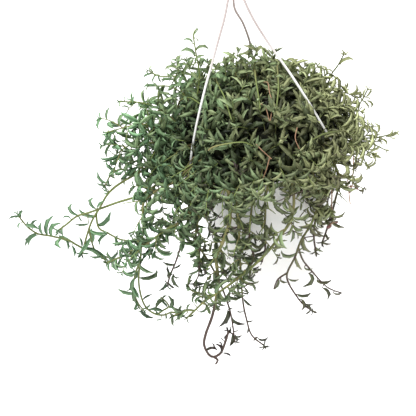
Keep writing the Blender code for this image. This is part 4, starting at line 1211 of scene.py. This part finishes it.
# Side shoots of the sprays: from, to, spacing, range of lengths, lift
SPRAY_BRANCHES = {
    "spray_left_a": [(20, 60, 16, (12, 24), 0.0)],
    "spray_left_b": [(20, 70, 14, (12, 24), -0.1)],
    "spray_upright": [(24, 85, 7, (12, 26), 0.1)],
    "spray_left_c": [(20, 110, 7, (16, 34), -0.15)],
    "spray_left_d": [(20, 130, 6.5, (16, 30), -0.15)],
    "spray_left_e": [(20, 130, 6.5, (18, 36), -0.2)],
    "spray_right_b": [(16, 50, 14, (12, 22), 0.0)],
    "spray_right_c": [(16, 90, 13, (12, 24), 0.0)],
    "spray_right_d": [(16, 70, 13, (12, 24), 0.0)],
}


def make_sprays():
    for name, (angle, points, forks) in SPRAYS.items():
        growth = Foliage(name)
        route = smooth_route(rooted(angle, points, over_rim=False), STEP)
        growth.stem(route, STEM_RADIUS)
        growth.clothe(route, 16 * MM, 6 * MM, 0.95, 0.15, tuft=3, end=WILD_LENGTHS.get(name, 70) * MM)
        for fork in forks:
            side_route = smooth_route([from_rim(*point) for point in fork], STEP)
            growth.stem(side_route, FORK_RADIUS, young=0.5)
            growth.clothe(side_route, 8 * MM, 5.5 * MM, 0.9, 0.4)
        for begin, end, spacing, lengths, lift in SPRAY_BRANCHES.get(name, []):
            growth.branch(route, begin * MM, end * MM, spacing * MM, lengths, lift, 0.95, 0.1)
        growth.seen_leaves(0.2)
        growth.finish(name)


BACK_ANGLES = [34, 50, 66, 99, 114, 130, 148]
BACK_DROPS = [44, 120, 95, 150, 105, 135, 90]
BACK_REACH = 22 * MM


def make_back_trails():
    for index, (angle, drop) in enumerate(zip(BACK_ANGLES, BACK_DROPS)):
        name = f"trail_back_{index + 1}"
        growth = Foliage(name)
        drift = growth.draw.uniform(-7, 7)
        reach = FLANGE_RADIUS + BACK_REACH
        points = rooted(angle, []) + [
            around(angle, FLANGE_RADIUS + 5 * MM, 8 * MM),
            around(angle + drift * 0.4, reach, -16 * MM),
            around(angle + drift, reach + 4 * MM, -0.5 * drop * MM),
            around(angle + drift * 1.4, reach - 4 * MM, -drop * MM),
        ]
        route = smooth_route(points, STEP)
        growth.stem(route, STEM_RADIUS, young=0.5)
        growth.clothe(route, 18 * MM, 7.5 * MM, 0.95, 0.5)
        growth.branch(route, 24 * MM, 0.8 * drop * MM, 26 * MM, (12, 26), -0.3, 0.9, 0.3)
        growth.finish(name)


MOUND_RADIUS = 104 * MM
MOUND_HEIGHT = 74 * MM
MOUND_BASE = 2 * MM
MOUND_SQUARE = 2.6
CORE_SHARE = 0.74


def mound_point(rise, turn, share=1.0):
    """A point of the mound: rise from 0 at its edge to 1 at its top, turn about the pot, share of the way out."""
    lean = math.asin(rise)
    flat = math.cos(lean) ** (2 / MOUND_SQUARE) * MOUND_RADIUS * share
    high = math.sin(lean) ** (2 / MOUND_SQUARE) * MOUND_HEIGHT * share
    return Vector((flat * math.cos(turn), flat * math.sin(turn), RIM + MOUND_BASE + high))


def mound_normal(rise, turn):
    here = mound_point(rise, turn)
    higher = mound_point(min(rise + 0.02, 0.999), turn) - mound_point(max(rise - 0.02, 0.001), turn)
    level = Vector((-math.sin(turn), math.cos(turn), 0))
    normal = level.cross(higher).normalized()
    return normal if normal.dot(here - Vector((0, 0, RIM))) > 0 else -normal


CROWN_SHOOTS = 195
SKIRT_SHOOTS = 96
# How thick the skirt is round the pot: (from angle, to angle, share of its shoots that grow, longest in mm)
SKIRT_PARTS = [
    (0, 60, 0.45, 46), (60, 170, 1.0, 80), (170, 225, 1.0, 84), (225, 258, 0.8, 64), (258, 290, 0.45, 46),
    (290, 312, 0.6, 56), (312, 345, 0.9, 58), (345, 360, 0.4, 40),
]


def make_crown():
    growth = Foliage("crown", FLATTER, 1.0)
    draw = growth.draw
    for index in range(CROWN_SHOOTS):
        rise = 1 - 0.98 * (index + 0.5) / CROWN_SHOOTS
        turn = index * GOLDEN_ANGLE
        normal = mound_normal(rise, turn)
        base = mound_point(rise, turn, draw.uniform(0.62, 0.78))
        lean = Vector([draw.uniform(-1, 1) for _ in range(3)])
        lean = lean - normal * lean.dot(normal)
        heading = normal * 0.8 + lean
        length = draw.uniform(26, 46) * MM
        route = growth.shoot(base, heading, length, draw.uniform(0.0, 0.35))
        # Painted shade on the leaves near each shoot's foot, deep in the mound.
        growth.clothe(smooth_route(route, STEP), 3 * MM, 4.8 * MM, 1.1, 0.1, tuft=4, painted_shade_length=length * 0.9)
    for foot, tip in TUFTS:
        route = smooth_route([from_rim(*foot), from_rim(*tip)], STEP)
        growth.stem(route, SHOOT_RADIUS)
        growth.clothe(route, 2 * MM, 4.5 * MM, 0.9, 0.1, tuft=4)
    for points, thick in RUNNERS:
        growth.stem(smooth_route([from_rim(*point) for point in points], STEP), thick * MM, shrink=0.8)
    growth.finish("crown")
    skirt = Foliage("crown_skirt")
    draw = skirt.draw
    for index in range(SKIRT_SHOOTS):
        turn = math.tau * index / SKIRT_SHOOTS + draw.uniform(-0.04, 0.04)
        share, longest = next(
            part[2:] for part in SKIRT_PARTS if part[0] <= math.degrees(turn) % 360 < part[1]
        )
        base = mound_point(draw.uniform(0.05, 0.35), turn, 0.85)
        flat = Vector((math.cos(turn), math.sin(turn), 0))
        side = Vector((-flat.y, flat.x, 0)) * draw.uniform(-0.7, 0.7)
        heading = flat + side + UP * draw.uniform(0.0, 0.5)
        length, lift = draw.uniform(38, longest) * MM, draw.uniform(-0.55, -0.15)
        if draw.random() > share:
            continue
        route = skirt.shoot(base, heading, length, lift)
        # Painted shade on the leaves near each skirt shoot's foot, in the hollow over the rim.
        skirt.clothe(smooth_route(route, STEP), 8 * MM, 5 * MM, 0.92, 0.3, tuft=4, painted_shade_length=0.6 * length)
    skirt.finish("crown")


def make_shade_core():
    """Painted shade inside the mound: a near-black lumpy dome that the leaves stand out of."""
    bm = bmesh.new()
    bmesh.ops.create_icosphere(bm, subdivisions=5, radius=1)
    for vert in bm.verts:
        way = vert.co.normalized()
        lumps = 1 + 0.12 * wave(way, 0.35) + 0.05 * wave(way, 0.12)
        flat = MOUND_RADIUS * 0.70 * lumps
        high = (MOUND_HEIGHT * CORE_SHARE if way.z > 0 else SOIL_BELOW_RIM * 0.9) * lumps
        vert.co = Vector((way.x * flat, way.y * flat, RIM + way.z * high))
    add_piece("crown_shade_core", bm, SHADE_CORE, "leaf", "crown")


def make_dry_bits():
    curve = bpy.data.curves.new("dry_bits", "CURVE")
    curve.dimensions = "3D"
    curve.bevel_depth = 0.55 * MM
    curve.bevel_resolution = 2
    curve.use_fill_caps = True
    for points in DRY_BITS:
        route = smooth_route([from_rim(*point) for point in points], 3 * MM)
        spline = curve.splines.new("POLY")
        spline.points.add(len(route) - 1)
        for point, place in zip(spline.points, route):
            point.co = (*place, 1)
            point.radius = 1 + 0.3 * wave(place, 5 * MM)
    holder = bpy.data.objects.new("dry_bits", curve)
    bm = bmesh.new()
    bm.from_mesh(bpy.data.meshes.new_from_object(holder))
    bpy.data.objects.remove(holder)
    add_piece("dry_bits", bm, STALK, "leaf", "crown")


def make_stalks():
    for name, (angle, points, buds) in STALKS.items():
        draw = random.Random(name)
        curve = bpy.data.curves.new(name, "CURVE")
        curve.dimensions = "3D"
        curve.bevel_depth = STALK_RADIUS
        curve.bevel_resolution = 2
        curve.use_fill_caps = True
        route = smooth_route(rooted(angle, points), STEP)
        routes, tips = [route], []
        for bud in range(buds):
            side = Vector((draw.uniform(-1, 1), draw.uniform(-1, 1), -0.6)).normalized()
            routes.append(smooth_route([route[-1], route[-1] + side * 7 * MM], 2 * MM))
            tips.append((route[-1] + side * 7 * MM, side))
        for places in routes:
            spline = curve.splines.new("POLY")
            spline.points.add(len(places) - 1)
            for point, place in zip(spline.points, places):
                point.co = (*place, 1)
                point.radius = 1 + 0.15 * wave(place, 6 * MM)
        holder = bpy.data.objects.new(name, curve)
        bm = bmesh.new()
        mesh = bpy.data.meshes.new_from_object(holder)
        bm.from_mesh(mesh)
        bpy.data.objects.remove(holder)
        add_piece(name + "_fine", bm, STALK, "stalk", name)
        if not tips:
            continue
        bm = bmesh.new()
        for tip, side in tips:
            turn = side.to_track_quat("Z", "Y").to_matrix().to_4x4()
            stretch = Matrix.Diagonal((1.7 * MM, 1.7 * MM, 3 * MM, 1))
            bmesh.ops.create_uvsphere(
                bm, u_segments=16, v_segments=10, radius=1, matrix=Matrix.Translation(tip) @ turn @ stretch
            )
        add_piece(name + "_buds", bm, BUD, "stalk", name)


def turned(profile, steps):
    """A bmesh turned about the pot's axis from (radius, height above the rim) points that start and end on it."""
    bm = bmesh.new()
    points = [bm.verts.new((radius, 0, height + RIM)) for radius, height in profile]
    edges = [bm.edges.new(pair) for pair in zip(points, points[1:])]
    bmesh.ops.spin(
        bm, geom=points + edges, axis=UP, cent=(0, 0, 0), angle=math.tau, steps=steps, use_merge=True
    )
    bmesh.ops.remove_doubles(bm, verts=bm.verts, dist=0.01 * MM)
    return bm


def make_pot():
    slope = (WALL_TOP_RADIUS - BASE_RADIUS) / POT_HEIGHT

    def outer(height):
        return BASE_RADIUS + slope * (height + POT_HEIGHT)

    profile = [(0, 1.5 * MM - POT_HEIGHT), (62 * MM, 1.5 * MM - POT_HEIGHT), (63 * MM, -POT_HEIGHT)]
    for step in range(7):
        bend = math.pi / 2 * step / 6
        profile.append((
            BASE_RADIUS - 3 * MM * (1 - math.sin(bend)), -POT_HEIGHT + 3 * MM * (1 - math.cos(bend))
        ))
    profile += [(outer(-3.4 * MM), -3.4 * MM), (outer(-2.4 * MM) + MM, -2.4 * MM)]
    profile += [(FLANGE_RADIUS - 2 * MM, -2.4 * MM), (FLANGE_RADIUS - 2 * MM, -8 * MM)]
    profile += [(FLANGE_RADIUS - 1.6 * MM, -8.3 * MM), (FLANGE_RADIUS - 0.4 * MM, -8.3 * MM)]
    profile.append((FLANGE_RADIUS, -8 * MM))
    for step in range(5):
        bend = math.pi / 2 * step / 4
        profile.append((
            FLANGE_RADIUS - 1.2 * MM * (1 - math.cos(bend)), -1.2 * MM * (1 - math.sin(bend))
        ))
    profile += [(outer(0) - 1.2 * MM, 0), (outer(-MM) - 2 * MM, -MM)]
    profile += [(BASE_RADIUS - 2 * MM, 4 * MM - POT_HEIGHT), (0, 4 * MM - POT_HEIGHT)]
    bm = turned(profile, 128)
    pot = add_piece("pot_shell", bm, POT_PLASTIC, "pot_plastic", "pot")
    cutter = bmesh.new()
    for angle in STRANDS:
        bmesh.ops.create_cone(
            cutter, cap_ends=True, segments=24, radius1=2.4 * MM, radius2=2.4 * MM, depth=12 * MM,
            matrix=Matrix.Translation(around(angle, 100 * MM, -MM)),
        )
    mesh = bpy.data.meshes.new("clip_holes")
    cutter.to_mesh(mesh)
    cutter.free()
    holes = bpy.data.objects.new("clip_holes", mesh)
    bpy.context.scene.collection.objects.link(holes)
    cut = pot.modifiers.new("Holes", "BOOLEAN")
    cut.operation = "DIFFERENCE"
    cut.object = holes
    graph = bpy.context.evaluated_depsgraph_get()
    pot_mesh = bpy.data.meshes.new_from_object(pot.evaluated_get(graph))
    pot.modifiers.clear()
    pot.data = pot_mesh
    bpy.data.objects.remove(holes)


def make_hanger():
    """One moulding: hook, knob, three strands and their barbs."""
    bm = bmesh.new()

    def add_tube(route, radii):
        curve = bpy.data.curves.new("strand", "CURVE")
        curve.dimensions = "3D"
        curve.bevel_depth = 1
        curve.bevel_resolution = 4
        curve.use_fill_caps = True
        spline = curve.splines.new("POLY")
        spline.points.add(len(route) - 1)
        for point, place, radius in zip(spline.points, route, radii):
            point.co = (*place, 1)
            point.radius = radius
        holder = bpy.data.objects.new("strand", curve)
        mesh = bpy.data.meshes.new_from_object(holder)
        bm.from_mesh(mesh)
        bpy.data.objects.remove(holder)

    junction = Vector((0, 0, -35 * MM))
    hook = [junction - UP * 3 * MM, junction + UP * 6 * MM, Vector((6 * MM, 0, -20 * MM))]
    for step in range(11):
        turn = math.radians(-15 + 195 * step / 10)
        hook.append(Vector((0, 0, -8 * MM)) + 10.4 * MM * Vector((math.cos(turn), 0, math.sin(turn))))
    hook.append(hook[-1] - UP * 6 * MM)
    route = smooth_route(hook, 2 * MM)
    ends = [min(1, 0.55 + 0.15 * min(index, len(route) - 1 - index)) for index in range(len(route))]
    add_tube(route, [2.4 * MM * end for end in ends])
    for angle in STRANDS:
        points = strand_points(angle) + [around(angle, 100 * MM, 2 * MM), around(angle, 100 * MM, -4.4 * MM)]
        route = smooth_route(points, 3 * MM)
        add_tube(route, [1.4 * MM] * len(route))
        bmesh.ops.create_cone(
            bm, cap_ends=True, segments=24, radius1=1.4 * MM, radius2=3 * MM, depth=5 * MM,
            matrix=Matrix.Translation(around(angle, 100 * MM, -2.75 * MM - 2.5 * MM)),
        )
    knob = turned_knob(junction)
    bm.from_mesh(knob)
    add_piece("hanger_moulding", bm, HANGER_PLASTIC, "hanger_plastic", "hanger")


def turned_knob(junction):
    """The round boss where the strands meet under the hook."""
    bm = bmesh.new()
    profile = [(0, -6), (5.6, -6), (6.4, -5.2), (6.5, -3), (5.2, 2.0), (4.4, 2.8), (0, 3)]
    points = [bm.verts.new((radius * MM, 0, junction.z + height * MM)) for radius, height in profile]
    edges = [bm.edges.new(pair) for pair in zip(points, points[1:])]
    bmesh.ops.spin(bm, geom=points + edges, axis=UP, cent=(0, 0, 0), angle=math.tau, steps=32, use_merge=True)
    bmesh.ops.remove_doubles(bm, verts=bm.verts, dist=0.01 * MM)
    mesh = bpy.data.meshes.new("knob")
    bm.to_mesh(mesh)
    bm.free()
    return mesh


def make_soil():
    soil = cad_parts["soil"]
    soil.data.materials.clear()
    soil.data.materials.append(SOIL)


AMBIENT = 0.48
# Soft lamps: azimuth, elevation, strength and how wide each looks, in degrees
LIGHTS = [("key", 235, 68, 3.1, 22), ("rim", 100, 58, 2.1, 40), ("fill", 272, 14, 0.7, 50)]


def make_stage():
    floor_mesh = bpy.data.meshes.new("floor")
    bm = bmesh.new()
    bmesh.ops.create_grid(bm, x_segments=1, y_segments=1, size=8)
    bmesh.ops.translate(bm, verts=bm.verts, vec=(0, 4, CAD_LOW.z - 0.9))
    bm.to_mesh(floor_mesh)
    bm.free()
    floor_mesh.materials.append(FLOOR)
    floor = bpy.data.objects.new("floor", floor_mesh)
    bpy.context.scene.collection.objects.link(floor)
    world = bpy.data.worlds.new("studio")
    world.use_nodes = True
    nodes, links = world.node_tree.nodes, world.node_tree.links
    backdrop = nodes["Background"]
    backdrop.inputs["Color"].default_value = (1, 1, 1, 1)
    seen = nodes.new("ShaderNodeLightPath").outputs["Is Camera Ray"]
    level = nodes.new("ShaderNodeMapRange")
    level.inputs["To Min"].default_value = AMBIENT
    level.inputs["To Max"].default_value = 1.0
    links.new(seen, level.inputs["Value"])
    links.new(level.outputs["Result"], backdrop.inputs["Strength"])
    bpy.context.scene.world = world
    for name, azimuth, elevation, strength, spread in LIGHTS:
        lamp = bpy.data.lights.new(name, "SUN")
        lamp.energy = strength
        lamp.angle = math.radians(spread)
        light = bpy.data.objects.new(name, lamp)
        flat = math.cos(math.radians(elevation))
        turn = math.radians(azimuth)
        place = Vector((flat * math.cos(turn), flat * math.sin(turn), math.sin(math.radians(elevation))))
        light.rotation_euler = place.to_track_quat("Z", "Y").to_euler()
        bpy.context.scene.collection.objects.link(light)
    bpy.context.scene.view_settings.view_transform = "Standard"


def make_camera():
    lens = bpy.data.cameras.new("camera")
    lens.sensor_width = 36
    lens.lens = 36 * FOCAL_PIXELS / PICTURE
    camera = bpy.data.objects.new("camera", lens)
    bpy.context.scene.collection.objects.link(camera)
    camera.matrix_world = view_matrix()
    bpy.context.scene.camera = camera


make_camera()
make_stage()
make_pot()
make_hanger()
make_soil()
make_shade_core()
make_crown()
make_dry_bits()
make_trails()
make_sprays()
make_back_trails()
make_stalks()
